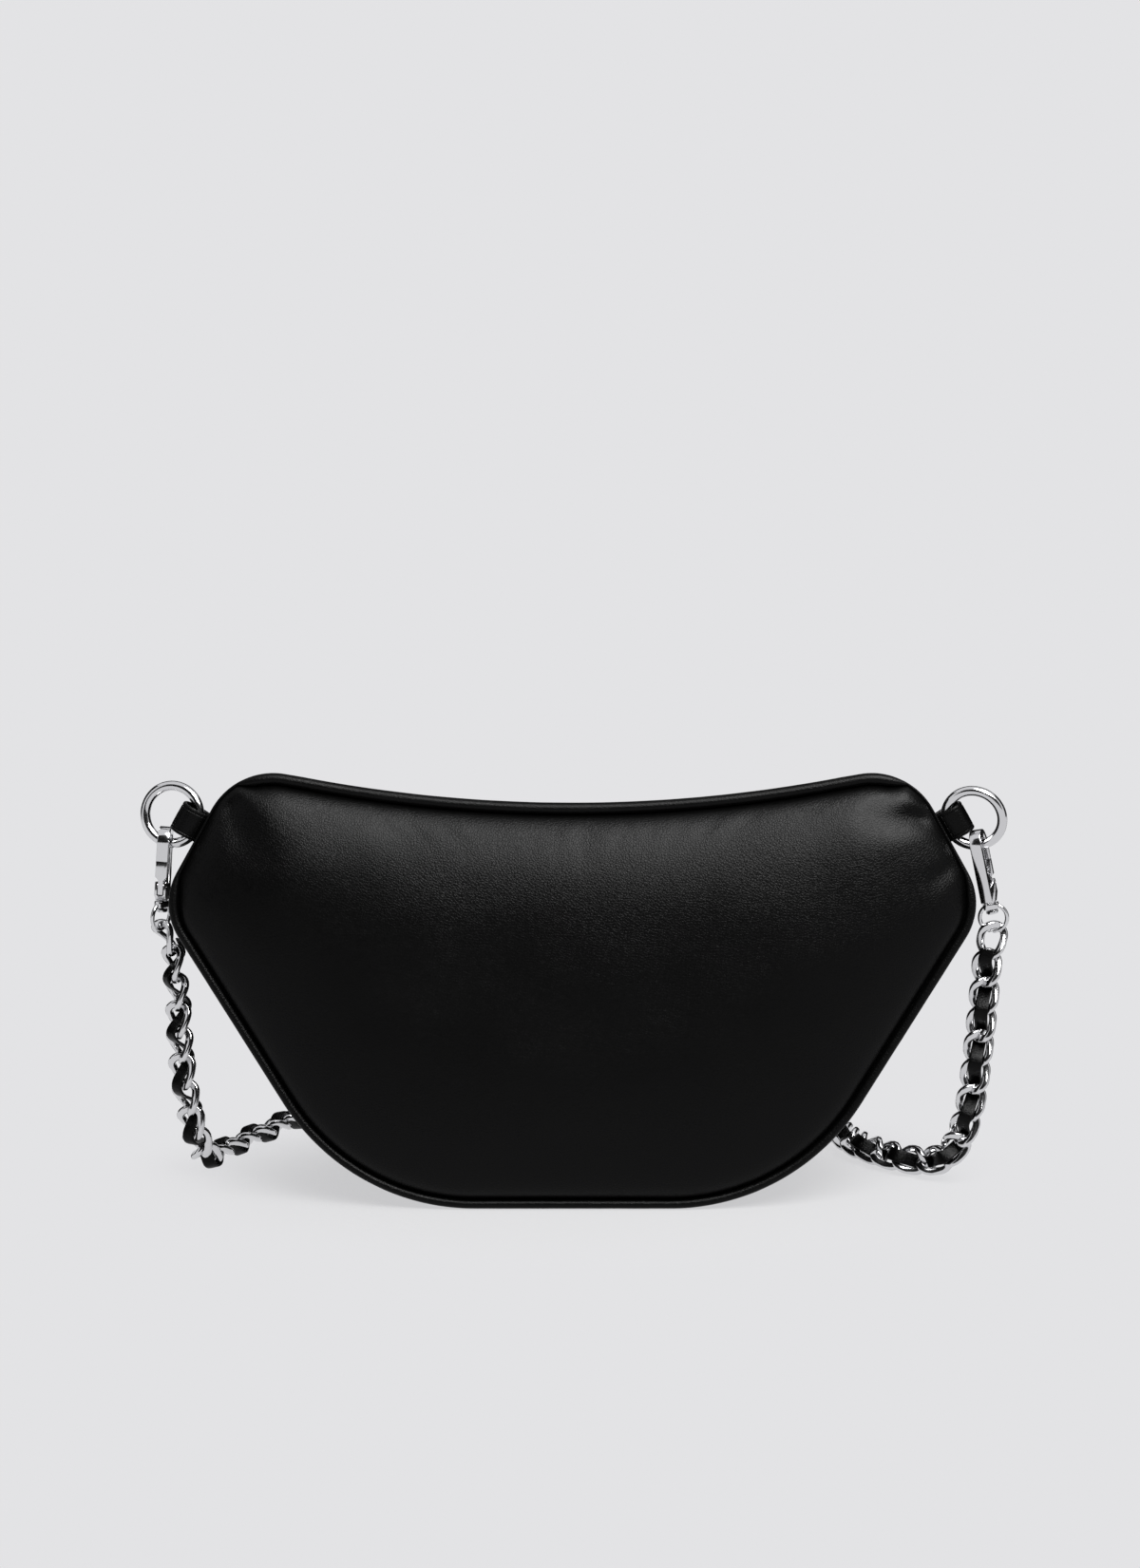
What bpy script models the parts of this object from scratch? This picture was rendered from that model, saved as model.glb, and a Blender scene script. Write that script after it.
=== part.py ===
"""A black leather belt bag that stands on its base, with a leather-laced chain strap.

The bag is a puffed back panel and a puffed front panel, joined by one gusset that runs over the shoulders,
down the sides and under the base, and by a zip in the dip of the top. A folded tab at each upper corner
holds an O-ring. A swivel snap hook on each ring carries one end of a curb chain with a lace woven through it.

Metres, +Z up. The back panel faces -Y. X runs along the zip.
"""

import math

import bmesh
import bpy
import numpy as np
from mathutils import Matrix, Vector

# Clearances
GAP = 0.0003
SEAT = 0.0004
RUN_GAP = 0.0006
OVERRUN = 0.002
MERGE = 0.00001

# Outline of the bag, as corners that arcs round off. Each round takes a share of its shorter edge.
MID_HEIGHT = 0.1365
DIP_RADIUS = 0.491
DIP_HALF = 0.0912
SHOULDER_HALF = 0.1141
SHOULDER_HEIGHT = 0.1489
SIDE_HALF = 0.1405
SIDE_HEIGHT = 0.1019
BASE_HALF = 0.0757
SHOULDER_ROUND_SHARE = 0.730
SIDE_ROUND_SHARE = 0.235
BASE_ROUND_SHARE = 0.558

# Depth of the bag
BASE_DEPTH = 0.064
BACK_LEAN = 0.022
FRONT_LEAN = 0.017
FRONT_DROP = 0.0133
BACK_BULGE = 0.0125
FRONT_BULGE = 0.0155

# Leather and seams
PANEL_WALL = 0.0022
GUSSET_WALL = 0.0018
GUSSET_INSET = 0.0008
PIPING_RADIUS = 0.0016
ROLL_RADIUS = 0.002
TURNED_EDGE = 0.0004
LINING_WALL = 0.0006
LINING_CLEARANCE = 0.0017
LINING_EASE = 0.004

# Zip, seen across its own slope
STRIP_WALL = 0.0014
STRIP_OPENING = 0.0104
TAPE_WALL = 0.0006
TOOTH_PITCH = 0.0048
TOOTH_REACH = 0.0025
TOOTH_HEIGHT = 0.0024
RAIL_WIDTH = 0.0014
RAIL_OPENING = 0.0032
SLIDER_LENGTH = 0.0105
SLIDER_NOSE = 0.0094
SLIDER_TAIL = 0.0088
SLIDER_PLATE = 0.0012
SLIDER_POST = 0.0011
STOP_LENGTH = 0.0022
BAIL_RADIUS = 0.0005
BAIL_REACH = 0.003
BAIL_RISE = 0.0023
PULL_LENGTH = 0.021
PULL_WIDTH = 0.0064
PULL_WALL = 0.001
PULL_SLOT = 0.0032

# Tabs and O-rings
RING_RADIUS = 0.0098
RING_WIRE = 0.0017
RING_REACH = 0.01129
RING_RISE = 0.03585
RING_TILT = math.radians(18)
TAB_WIDTH = 0.0105
TAB_WALL = 0.0012
TAB_REACH = 0.0101
TAB_RISE = 0.0016
TAB_ROOM = 0.0011
TAB_DEPTH = -0.0043

# Snap hooks
HOOK_WIDTH = 0.004
HOOK_BAR = 0.0017
HOOK_ROOM = 0.0011
HOOK_CROWN = 0.0026
HOOK_LENGTH = 0.0257
NOSE_LENGTH = 0.0114
GATE_WALL = 0.0015
GATE_LENGTH = 0.0113
GATE_FULL = 0.0063
TONGUE_WIDTH = 0.0018
PIN_DROP = 0.0198
PIN_RADIUS = 0.0005
PIN_ROOM = 0.0001
CHEEK_TOP = 0.0186
BASE_BLOCK = 0.0023
GATE_SPRING_RADIUS = 0.0003
STUD_RADIUS = 0.0008
STUD_ROOM = 0.0001
STUD_HEAD = 0.0021
STUD_HEAD_HEIGHT = 0.0013
STUD_GRIP = 0.0012
EYE_RADIUS = 0.00465
EYE_WIRE = 0.0007
EYE_BOSS_WIDTH = 0.0054
EYE_BOSS_DEPTH = 0.0034
EYE_BOSS_HEIGHT = 0.0022
HOOK_SEAT_LEFT = math.radians(14)
HOOK_SEAT_RIGHT = math.radians(10)
HOOK_TURN_LEFT = math.radians(174)
HOOK_TURN_RIGHT = math.radians(-20)
HOOK_LEAN_LEFT = math.radians(4)
HOOK_LEAN_RIGHT = math.radians(12)
EYE_TURN_LEFT = math.radians(62)
EYE_TURN_RIGHT = math.radians(12)

# Chain and lace
LINK_WIRE = 0.00098
LINK_HALF_WIDTH = 0.0039
LINK_PITCH = 0.0099
LINK_TWIST = math.radians(36)
LINKS_IN_A_RUN = 4
LACE_WIDTH = 0.0046
LACE_WALL = 0.0009
LACE_LIFT = 0.0031
LACE_FLAT = 0.0022
LYING_HEIGHT = 0.004

# The strap's route from the left eye to the right eye. Each row is a place and the links' turn in degrees.
# Places are shares: of the strap end's distance from the middle, of the bag's depth, and of its height.
STRAP_ROUTE_SHARES = [
    (-0.9750, -0.0078, 0.9009, 30),
    (-0.9643, -0.0125, 0.7810, 20),
    (-0.9601, -0.0078, 0.5886, 8),
    (-0.9544, 0.0156, 0.4075, 0),
    (-0.9402, 0.0500, 0.2377, 0),
    (-0.9225, 0.1172, 0.0962, 0),
    (-0.9047, 0.2578, 0.0136, 0),
    (-0.8764, 0.4219, 0.0000, 0),
    (-0.8267, 0.6328, 0.0000, 0),
    (-0.7664, 0.8750, 0.0000, 0),
    (-0.7025, 1.1094, 0.0000, 0),
    (-0.6032, 1.3906, 0.0000, 0),
    (-0.4400, 1.6094, 0.0000, 0),
    (-0.2271, 1.7031, 0.0000, 0),
    (0.0000, 1.7188, 0.0000, 0),
    (0.2217, 1.6719, 0.0000, 0),
    (0.4157, 1.5312, 0.0000, 0),
    (0.5612, 1.2969, 0.0000, 0),
    (0.6374, 1.0000, 0.0000, 0),
    (0.6686, 0.7031, 0.0000, 0),
    (0.6998, 0.4688, 0.0000, 0),
    (0.7587, 0.2734, 0.0000, 0),
    (0.8349, 0.1250, 0.0023, 0),
    (0.9007, 0.0234, 0.0507, -10),
    (0.9353, -0.0312, 0.1689, -22),
    (0.9547, -0.0547, 0.3266, -26),
    (0.9665, -0.0703, 0.5181, -26),
    (0.9769, -0.0859, 0.7208, -22),
    (0.9838, -0.0938, 0.8898, -10),
]
ROUTE_STEPS = 60

# Counts
DIP_STEPS = 8
CORNER_STEPS = 4
BASE_STEPS = 5
DOME_SHARES = [0.0, 0.05, 0.16, 0.36, 0.64]
LINING_SHARES = [0.0, 0.1, 0.4]
CROWN_STEPS = 24
BOW_STEPS = 4
TURN_STEPS = 6
FITTING_STEPS = 30
ROLL_POINTS = 4
PIPING_START = ROLL_POINTS + 3

# Shapes
ROLL_END_SHARE = 0.6
DOME_ROUND_SHARE = 0.72
PITCH_LOW_SHARE = 0.9
PITCH_HIGH_SHARE = 1.1
MITRE_SHARE = 0.5
FIRST_WIDTH_SHARES = (0.85, -0.5, 0)

BACK = -1
FRONT = 1
LEFT = -1
RIGHT = 1


# Places that follow from the sizes above
SPIN_HEIGHT = MID_HEIGHT + DIP_RADIUS
SEAM_DEPTH = PANEL_WALL / 2 + ROLL_RADIUS + GAP
BACK_TOP = -BASE_DEPTH / 2 + BACK_LEAN
FRONT_MID = MID_HEIGHT - FRONT_DROP
FRONT_TOP = BASE_DEPTH / 2 - FRONT_LEAN
ZIP_BACK = Vector((0, BACK_TOP + SEAM_DEPTH, MID_HEIGHT - GUSSET_INSET))
ZIP_FRONT = Vector((0, FRONT_TOP - SEAM_DEPTH, FRONT_MID - GUSSET_INSET))
ZIP_CENTRE = (ZIP_BACK + ZIP_FRONT) / 2
ZIP_ACROSS = (ZIP_FRONT - ZIP_BACK).normalized()
ZIP_UP = Vector((1, 0, 0)).cross(ZIP_ACROSS)
ZIP_SPAN = (ZIP_FRONT - ZIP_BACK).length / 2
DIP_ANGLE = math.asin(DIP_HALF / DIP_RADIUS)
ZIP_ANGLE = DIP_ANGLE - GAP / DIP_RADIUS
TAPE_TOP = -STRIP_WALL - GAP
TAPE_MIDDLE = TAPE_TOP - TAPE_WALL / 2
STOP_ANGLE = ZIP_ANGLE - (STOP_LENGTH / 2 + GAP) / DIP_RADIUS
SLIDER_ANGLE = STOP_ANGLE - (STOP_LENGTH / 2 + GAP + SLIDER_LENGTH / 2) / DIP_RADIUS
TEETH_START = -STOP_ANGLE + (STOP_LENGTH / 2 + GAP) / DIP_RADIUS
TEETH_END = SLIDER_ANGLE + (SLIDER_LENGTH / 2 - 2 * SLIDER_POST - GAP) / DIP_RADIUS
HOOK_INNER = RING_WIRE + HOOK_ROOM
HOOK_OUTER = HOOK_INNER + HOOK_BAR
HOOK_TOP = HOOK_INNER + HOOK_CROWN
HOOK_FOOT = HOOK_TOP - HOOK_LENGTH
GATE_TOP = HOOK_TOP - NOSE_LENGTH - GAP
PIN_HEIGHT = HOOK_TOP - PIN_DROP
PIN_DEPTH = HOOK_OUTER - GATE_WALL / 2
EYE_TOP = HOOK_FOOT - GAP
EYE_HEIGHT = EYE_TOP - EYE_RADIUS - EYE_WIRE
HOOK_SEATS = {LEFT: HOOK_SEAT_LEFT, RIGHT: HOOK_SEAT_RIGHT}
HOOKS = {
    LEFT: (HOOK_TURN_LEFT, HOOK_LEAN_LEFT, EYE_TURN_LEFT),
    RIGHT: (HOOK_TURN_RIGHT, HOOK_LEAN_RIGHT, EYE_TURN_RIGHT),
}


def new_collection(name):
    collection = bpy.data.collections.new(name)
    bpy.context.scene.collection.children.link(collection)
    return collection


def new_material(name, colour, roughness, metallic):
    material = bpy.data.materials.new(name)
    material.use_nodes = True
    shader = material.node_tree.nodes["Principled BSDF"]
    shader.inputs["Base Color"].default_value = (*colour, 1)
    shader.inputs["Roughness"].default_value = roughness
    shader.inputs["Metallic"].default_value = metallic
    return material


def clear_scene():
    for thing in list(bpy.data.objects):
        bpy.data.objects.remove(thing, do_unlink=True)


def place_mesh(name, bm, material):
    """Puts a finished bmesh in the scene as one object."""
    bmesh.ops.recalc_face_normals(bm, faces=bm.faces)
    mesh = bpy.data.meshes.new(name)
    bm.to_mesh(mesh)
    bm.free()
    return place_data(name, mesh, material)


def place_data(name, data, material):
    thing = bpy.data.objects.new(name, data)
    data.materials.clear()
    data.materials.append(material)
    PARTS.objects.link(thing)
    return thing


def shade(thing, angle=math.radians(35)):
    thing.data.shade_smooth()
    thing.data.set_sharp_from_angle(angle=angle)
    return thing


def solidify(thing, wall):
    shell = thing.modifiers.new("wall", "SOLIDIFY")
    shell.thickness = wall
    shell.offset = -1
    return thing


def tube_curve(name, points, radius, material, closed=False, sides_step=1, tapers=None):
    """A round bar along points, as a curve with filled caps."""
    curve = bpy.data.curves.new(name, "CURVE")
    curve.dimensions = "3D"
    curve.bevel_depth = radius
    curve.bevel_resolution = sides_step
    curve.use_fill_caps = True
    spline = curve.splines.new("POLY")
    spline.points.add(len(points) - 1)
    for index, place in enumerate(points):
        spline.points[index].co = (*place, 1)
        if tapers:
            spline.points[index].radius = tapers[index]
    spline.use_cyclic_u = closed
    return place_data(name, curve, material)


def as_mesh(thing):
    """Turns an evaluated object into a plain mesh object of the same name and place."""
    bpy.context.view_layer.update()
    seen = thing.evaluated_get(bpy.context.evaluated_depsgraph_get())
    mesh = bpy.data.meshes.new_from_object(seen)
    bm = bmesh.new()
    bm.from_mesh(mesh)
    bmesh.ops.remove_doubles(bm, verts=bm.verts, dist=MERGE)
    bmesh.ops.recalc_face_normals(bm, faces=bm.faces)
    bm.to_mesh(mesh)
    bm.free()
    name = thing.name
    matrix = thing.matrix_world.copy()
    material = thing.data.materials[0]
    bpy.data.objects.remove(thing, do_unlink=True)
    solid = place_data(name, mesh, material)
    solid.name = name
    solid.matrix_world = matrix
    return solid


def combine(base, tools, operation):
    """Joins or cuts base with each tool, and leaves one plain mesh."""
    for tool in tools:
        step = base.modifiers.new(operation.lower(), "BOOLEAN")
        step.operation = operation
        step.object = tool
    solid = as_mesh(base)
    for tool in tools:
        bpy.data.objects.remove(tool, do_unlink=True)
    return solid


def box(name, low, high, material):
    bm = bmesh.new()
    bmesh.ops.create_cube(bm, size=1)
    size = Vector(high) - Vector(low)
    middle = (Vector(high) + Vector(low)) / 2
    bmesh.ops.scale(bm, verts=bm.verts, vec=size)
    bmesh.ops.translate(bm, verts=bm.verts, vec=middle)
    return place_mesh(name, bm, material)


def prism(name, outline, low, high, material):
    """A flat outline in X and Z, pushed along Y from low to high."""
    bm = bmesh.new()
    corners = [bm.verts.new((x, low, z)) for x, z in outline]
    face = bm.faces.new(corners)
    pushed = bmesh.ops.extrude_face_region(bm, geom=[face])
    moved = [part for part in pushed["geom"] if isinstance(part, bmesh.types.BMVert)]
    bmesh.ops.translate(bm, verts=moved, vec=(0, high - low, 0))
    return place_mesh(name, bm, material)


def cylinder(name, radius, low, high, material, sides=12):
    """An upright round bar about the local Z axis."""
    bm = bmesh.new()
    bmesh.ops.create_cone(
        bm, cap_ends=True, segments=sides, radius1=radius, radius2=radius, depth=high - low
    )
    bmesh.ops.translate(bm, verts=bm.verts, vec=(0, 0, (high + low) / 2))
    return place_mesh(name, bm, material)


def torus(name, radius, wire, steps, sides, material):
    """A round ring about the local Y axis."""
    points = [
        Vector((math.cos(turn) * radius, 0, math.sin(turn) * radius))
        for turn in (2 * math.pi * step / steps for step in range(steps))
    ]
    ring = as_mesh(tube_curve(name, points, wire, material, closed=True, sides_step=(sides - 4) // 2))
    return shade(ring)


def loft(name, rings, material, capped=True):
    """Joins closed rings of equal length into one skin."""
    bm = bmesh.new()
    rows = [[bm.verts.new(place) for place in ring] for ring in rings]
    count = len(rows[0])
    for row, following in zip(rows, rows[1:]):
        for index in range(count):
            after = (index + 1) % count
            bm.faces.new((row[index], row[after], following[after], following[index]))
    if capped:
        bm.faces.new(rows[0])
        bm.faces.new(rows[-1])
    return place_mesh(name, bm, material)


def rounded(before, corner, after, share, steps):
    """The points of the arc that rounds a corner, in X and Z."""
    reach = share * min((before - corner).length, (after - corner).length)
    to_before = (before - corner).normalized()
    to_after = (after - corner).normalized()
    half_angle = to_before.angle(to_after) / 2
    radius = reach * math.tan(half_angle)
    centre = corner + (to_before + to_after).normalized() * (radius / math.sin(half_angle))
    first = corner + to_before * reach - centre
    last = corner + to_after * reach - centre
    start = math.atan2(first.y, first.x)
    turn = math.remainder(math.atan2(last.y, last.x) - start, 2 * math.pi)
    angles = [start + turn * step / steps for step in range(steps + 1)]
    return [centre + Vector((math.cos(angle), math.sin(angle))) * radius for angle in angles]


def front_drop(side):
    return FRONT_DROP if side == FRONT else 0


def dip_point(angle, side):
    """A place on the dip, at an angle about its far centre, in X and Z."""
    radius = DIP_RADIUS + front_drop(side)
    return Vector((radius * math.sin(angle), SPIN_HEIGHT - radius * math.cos(angle)))


def belt_half(side):
    """From the zip's end over the right shoulder to the middle of the base, in X and Z."""
    start = dip_point(DIP_ANGLE, side)
    shoulder = Vector((SHOULDER_HALF, SHOULDER_HEIGHT - front_drop(side)))
    flank = Vector((SIDE_HALF, SIDE_HEIGHT))
    foot = Vector((BASE_HALF, 0))
    middle = Vector((0, 0))
    return (
        [start]
        + rounded(start, shoulder, flank, SHOULDER_ROUND_SHARE, CORNER_STEPS)
        + rounded(shoulder, flank, foot, SIDE_ROUND_SHARE, CORNER_STEPS)
        + rounded(flank, foot, middle, BASE_ROUND_SHARE, BASE_STEPS)
        + [middle]
    )


def mirrored(points):
    return [Vector((-place.x, place.y)) for place in reversed(points)]


def belt(side):
    """The gusset's line, from the right end of the zip round the base to its left end."""
    half = belt_half(side)
    return half + mirrored(half)[1:]


def dip(side):
    """The points between the zip's ends, left to right."""
    return [dip_point(DIP_ANGLE * (2 * step / DIP_STEPS - 1), side) for step in range(1, DIP_STEPS)]


def outline(side):
    """The whole closed edge of one panel, clockwise as the camera sees it from the back."""
    return belt(side) + dip(side)


def inset(points, amounts, closed=True):
    """Moves each point of an outline inwards by its own amount."""
    count = len(points)
    moved = []
    for index, place in enumerate(points):
        before = points[index - 1] if closed or index else place
        after = points[(index + 1) % count] if closed or index + 1 < count else place
        along = (after - before).normalized()
        moved.append(place + Vector((along.y, -along.x)) * amounts[index])
    return moved


def depth_at(height, side):
    """How far out a panel's outer face lies at its edge, at a height."""
    if side == BACK:
        return -BASE_DEPTH / 2 + BACK_LEAN * height / MID_HEIGHT
    return BASE_DEPTH / 2 - FRONT_LEAN * height / FRONT_MID


def on_panel(place, inwards, side):
    """A place on a panel's edge plane, pushed towards the inside of the bag."""
    return Vector((place.x, depth_at(place.y, side) - side * inwards, place.y))


def edge_amounts(side):
    """How far the panel's own edge lies inside the outline, point by point."""
    count = len(belt(side))
    amounts = []
    for index in range(count):
        from_end = min(index, count - 1 - index)
        if from_end < ROLL_POINTS:
            amounts.append(2 * ROLL_RADIUS + GAP)
        elif from_end < PIPING_START:
            amounts.append(TURNED_EDGE)
        else:
            amounts.append(2 * PIPING_RADIUS + GAP)
    return amounts + [2 * ROLL_RADIUS + GAP] * len(dip(side))


def edge_samples(edge):
    """Close places along a closed edge, with the length that each stands for."""
    places = []
    lengths = []
    for here, after in zip(edge, edge[1:] + edge[:1]):
        length = (after - here).length
        steps = math.ceil(length / TURNED_EDGE)
        for step in range(steps):
            places.append(here.lerp(after, (2 * step + 1) / (2 * steps)))
            lengths.append(length / steps)
    return np.array(places), np.array(lengths)


def edge_distance(place, samples):
    """A distance from the whole edge at once, which has no creases in the middle."""
    places, lengths = samples
    away = np.linalg.norm(places - np.array(place), axis=1)
    return float(np.sum(lengths / away**3)) ** (-1 / 2)


def filling(side):
    """A panel's edge samples, its crown on the middle line, and the crown's distance from the edge."""
    samples = edge_samples(inset(outline(side), edge_amounts(side)))
    middles = [Vector((0, MID_HEIGHT * step / CROWN_STEPS)) for step in range(4, CROWN_STEPS - 4)]
    crown = max(middles, key=lambda place: edge_distance(place, samples))
    return samples, crown, edge_distance(crown, samples)


def puff(place, side, bulge):
    """How far a filled panel stands out at a place."""
    samples, _, full = FILLINGS[side]
    share = min(1, edge_distance(place, samples) / full)
    return bulge * (share * (2 - share)) ** DOME_ROUND_SHARE


def dome_rings(edge, side, bulge, inwards, shares, ease=0):
    """Rings from an edge to the panel's crown, pushed out like a filled cushion, less an ease."""
    middle = FILLINGS[side][1]
    rings = []
    for share in shares:
        ring = []
        for place in edge:
            inner = place.lerp(middle, share)
            rise = max(0, puff(inner, side, bulge) - ease) if share else 0
            ring.append(on_panel(inner, inwards - rise, side))
        rings.append(ring)
    crown = on_panel(middle, inwards - bulge + ease, side)
    return rings, crown


def dome_sheet(bm, rings, crown):
    rows = [[bm.verts.new(place) for place in ring] for ring in rings]
    count = len(rows[0])
    for row, following in zip(rows, rows[1:]):
        for index in range(count):
            after = (index + 1) % count
            bm.faces.new((row[index], row[after], following[after], following[index]))
    tip = bm.verts.new(crown)
    for index in range(count):
        bm.faces.new((rows[-1][index], rows[-1][(index + 1) % count], tip))
    return rows


def make_panel(name, side, bulge):
    edge = inset(outline(side), edge_amounts(side))
    rings, crown = dome_rings(edge, side, bulge, 0, DOME_SHARES)
    bm = bmesh.new()
    dome_sheet(bm, rings, crown)
    panel = place_mesh(name, bm, LEATHER)
    face_outwards(panel, side)
    return shade(solidify(panel, PANEL_WALL))


def face_outwards(thing, side):
    """Turns an open sheet so that its faces look away from the bag."""
    bm = bmesh.new()
    bm.from_mesh(thing.data)
    if sum(face.normal.y * face.calc_area() for face in bm.faces) * side < 0:
        bmesh.ops.reverse_faces(bm, faces=bm.faces)
    bm.to_mesh(thing.data)
    bm.free()


def seam_path(side, first, last, radius):
    """A row of piping places along the outline, in the panel's own edge."""
    points = outline(side)
    moved = inset(points, [radius] * len(points))
    return [on_panel(moved[index % len(moved)], PANEL_WALL / 2, side) for index in range(first, last + 1)]


def make_piping(name, side):
    last = len(belt(side)) - 1 - PIPING_START
    path = seam_path(side, PIPING_START, last, PIPING_RADIUS)
    return tube_curve(name, path, PIPING_RADIUS, LEATHER)


def make_top_roll(name, side):
    count = len(outline(side))
    belt_end = len(belt(side))
    path = seam_path(side, belt_end - ROLL_POINTS, count + ROLL_POINTS - 1, ROLL_RADIUS)
    tapers = [1] * len(path)
    tapers[0] = ROLL_END_SHARE
    tapers[-1] = ROLL_END_SHARE
    return tube_curve(name, path, ROLL_RADIUS, LEATHER, tapers=tapers)


def gusset_inset(place):
    """The gusset is flush with the piping under the base and a little inside it elsewhere."""
    return GUSSET_INSET * min(1, place.y / PIPING_RADIUS)


def gusset_line(side, wall):
    """The belt moved inwards, with ends that move straight from the dip's far centre and so clear the zip."""
    points = belt(side)
    amounts = [gusset_inset(place) + wall for place in points]
    moved = inset(points, amounts, closed=False)
    centre = Vector((0, SPIN_HEIGHT))
    for index in (0, -1):
        away = (points[index] - centre).normalized()
        moved[index] = points[index] + away * amounts[index]
    return moved


def make_gusset():
    lines = {}
    for side in (BACK, FRONT):
        outer = gusset_line(side, 0)
        inner = gusset_line(side, GUSSET_WALL)
        lines[side] = [
            (on_panel(out, SEAM_DEPTH, side), on_panel(within, SEAM_DEPTH, side))
            for out, within in zip(outer, inner)
        ]
    rings = []
    for (back_out, back_in), (front_out, front_in) in zip(lines[BACK], lines[FRONT]):
        mid_out = (back_out + front_out) / 2
        mid_in = (back_in + front_in) / 2
        rings.append([back_out, mid_out, front_out, front_in, mid_in, back_in])
    return shade(loft("gusset", rings, LEATHER))


def make_lining():
    """A thin bag inside the panels and the gusset, open under the zip."""
    bm = bmesh.new()
    ends = []
    for side, bulge in ((BACK, BACK_BULGE), (FRONT, FRONT_BULGE)):
        points = outline(side)
        amount = GUSSET_INSET + GUSSET_WALL + LINING_CLEARANCE
        top = SEAM_DEPTH + ZIP_SPAN / 2
        amounts = [top] + [amount] * (len(belt(side)) - 2) + [top] * (len(dip(side)) + 1)
        edge = inset(points, amounts)
        inwards = PANEL_WALL + LINING_CLEARANCE
        rings, crown = dome_rings(edge, side, bulge, inwards, LINING_SHARES, LINING_EASE)
        ends.append(dome_sheet(bm, rings, crown)[0])
    belt_count = len(belt(BACK))
    for index in range(belt_count - 1):
        bm.faces.new((ends[0][index], ends[0][index + 1], ends[1][index + 1], ends[1][index]))
    lining = place_mesh("lining", bm, CLOTH)
    turn_inside_in(lining)
    return shade(solidify(lining, LINING_WALL))


def turn_inside_in(thing):
    """Makes an open bag's faces look out from its middle."""
    bm = bmesh.new()
    bm.from_mesh(thing.data)
    middle = Vector((0, 0, SIDE_HEIGHT / 2))
    if sum((face.calc_center_median() - middle).dot(face.normal) for face in bm.faces) < 0:
        bmesh.ops.reverse_faces(bm, faces=bm.faces)
    bm.to_mesh(thing.data)
    bm.free()


def zip_point(across, rise, angle):
    """A place on the zip: across its slope, above its leather, at an angle about the dip's far centre."""
    flat = ZIP_CENTRE + ZIP_ACROSS * across + ZIP_UP * rise
    radius = SPIN_HEIGHT - flat.z
    return Vector((radius * math.sin(angle), flat.y, SPIN_HEIGHT - radius * math.cos(angle)))


def zip_frame(angle):
    """Local X along the zip, Y across its slope, Z off its leather."""
    turn = Matrix.Rotation(-angle, 4, "Y")
    axes = Matrix((Vector((1, 0, 0)), ZIP_ACROSS, ZIP_UP)).transposed().to_4x4()
    return Matrix.Translation(zip_point(0, 0, angle)) @ turn @ axes


def set_origin(thing, place):
    """Moves a piece's origin to a place and leaves its shape where it is."""
    matrix = Matrix.Translation(place)
    thing.data.transform(matrix.inverted() @ thing.matrix_world)
    thing.matrix_world = matrix
    return thing


def lip_origin(side):
    """A lip turns about the seam at its strip's outer edge."""
    return strip_edge(-STRIP_WALL / 2, 0, side)


def travel_origin():
    """The slider turns about the dip's far centre."""
    return Vector((0, zip_point(0, 0, 0).y, SPIN_HEIGHT))


def zip_sheet(name, first, last, rise, wall, material):
    """A strip or a tape: a line across the zip, spun along the dip, with a wall."""
    bm = bmesh.new()
    ends = [bm.verts.new(zip_point(across, rise, -ZIP_ANGLE)) for across in (first, last)]
    edge = bm.edges.new(ends)
    bmesh.ops.spin(
        bm,
        geom=ends + [edge],
        cent=(0, 0, SPIN_HEIGHT),
        axis=(0, -1, 0),
        angle=2 * ZIP_ANGLE,
        steps=DIP_STEPS,
        use_duplicate=False,
    )
    sheet = place_mesh(name, bm, material)
    face_up(sheet)
    return shade(solidify(sheet, wall))


def face_up(thing):
    bm = bmesh.new()
    bm.from_mesh(thing.data)
    if sum(face.normal.dot(ZIP_UP) for face in bm.faces) < 0:
        bmesh.ops.reverse_faces(bm, faces=bm.faces)
    bm.to_mesh(thing.data)
    bm.free()


def strip_edge(rise, angle, side):
    """The strip's outer edge, just inside the roll, all along the leaning panel."""
    radius = DIP_RADIUS + front_drop(side) + GUSSET_INSET - rise
    place = Vector((radius * math.sin(angle), SPIN_HEIGHT - radius * math.cos(angle)))
    return on_panel(place, SEAM_DEPTH, side)


def make_strip(name, side):
    """A leather strip from the roll to the zip."""
    inner = side * STRIP_OPENING / 2
    rings = []
    for step in range(DIP_STEPS + 1):
        angle = ZIP_ANGLE * (2 * step / DIP_STEPS - 1)
        rings.append(
            [
                strip_edge(0, angle, side),
                zip_point(inner, 0, angle),
                zip_point(inner, -STRIP_WALL, angle),
                strip_edge(-STRIP_WALL, angle, side),
            ]
        )
    return set_origin(shade(loft(name, rings, LEATHER)), lip_origin(side))


def make_tape(name, side):
    inner = side * (RAIL_OPENING / 2 + RAIL_WIDTH + GAP)
    outer = side * (ZIP_SPAN - SEAM_DEPTH)
    return set_origin(zip_sheet(name, inner, outer, TAPE_TOP, TAPE_WALL, CLOTH), lip_origin(side))


def tooth_count():
    return int((TEETH_END - TEETH_START) * DIP_RADIUS / TOOTH_PITCH)


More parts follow.
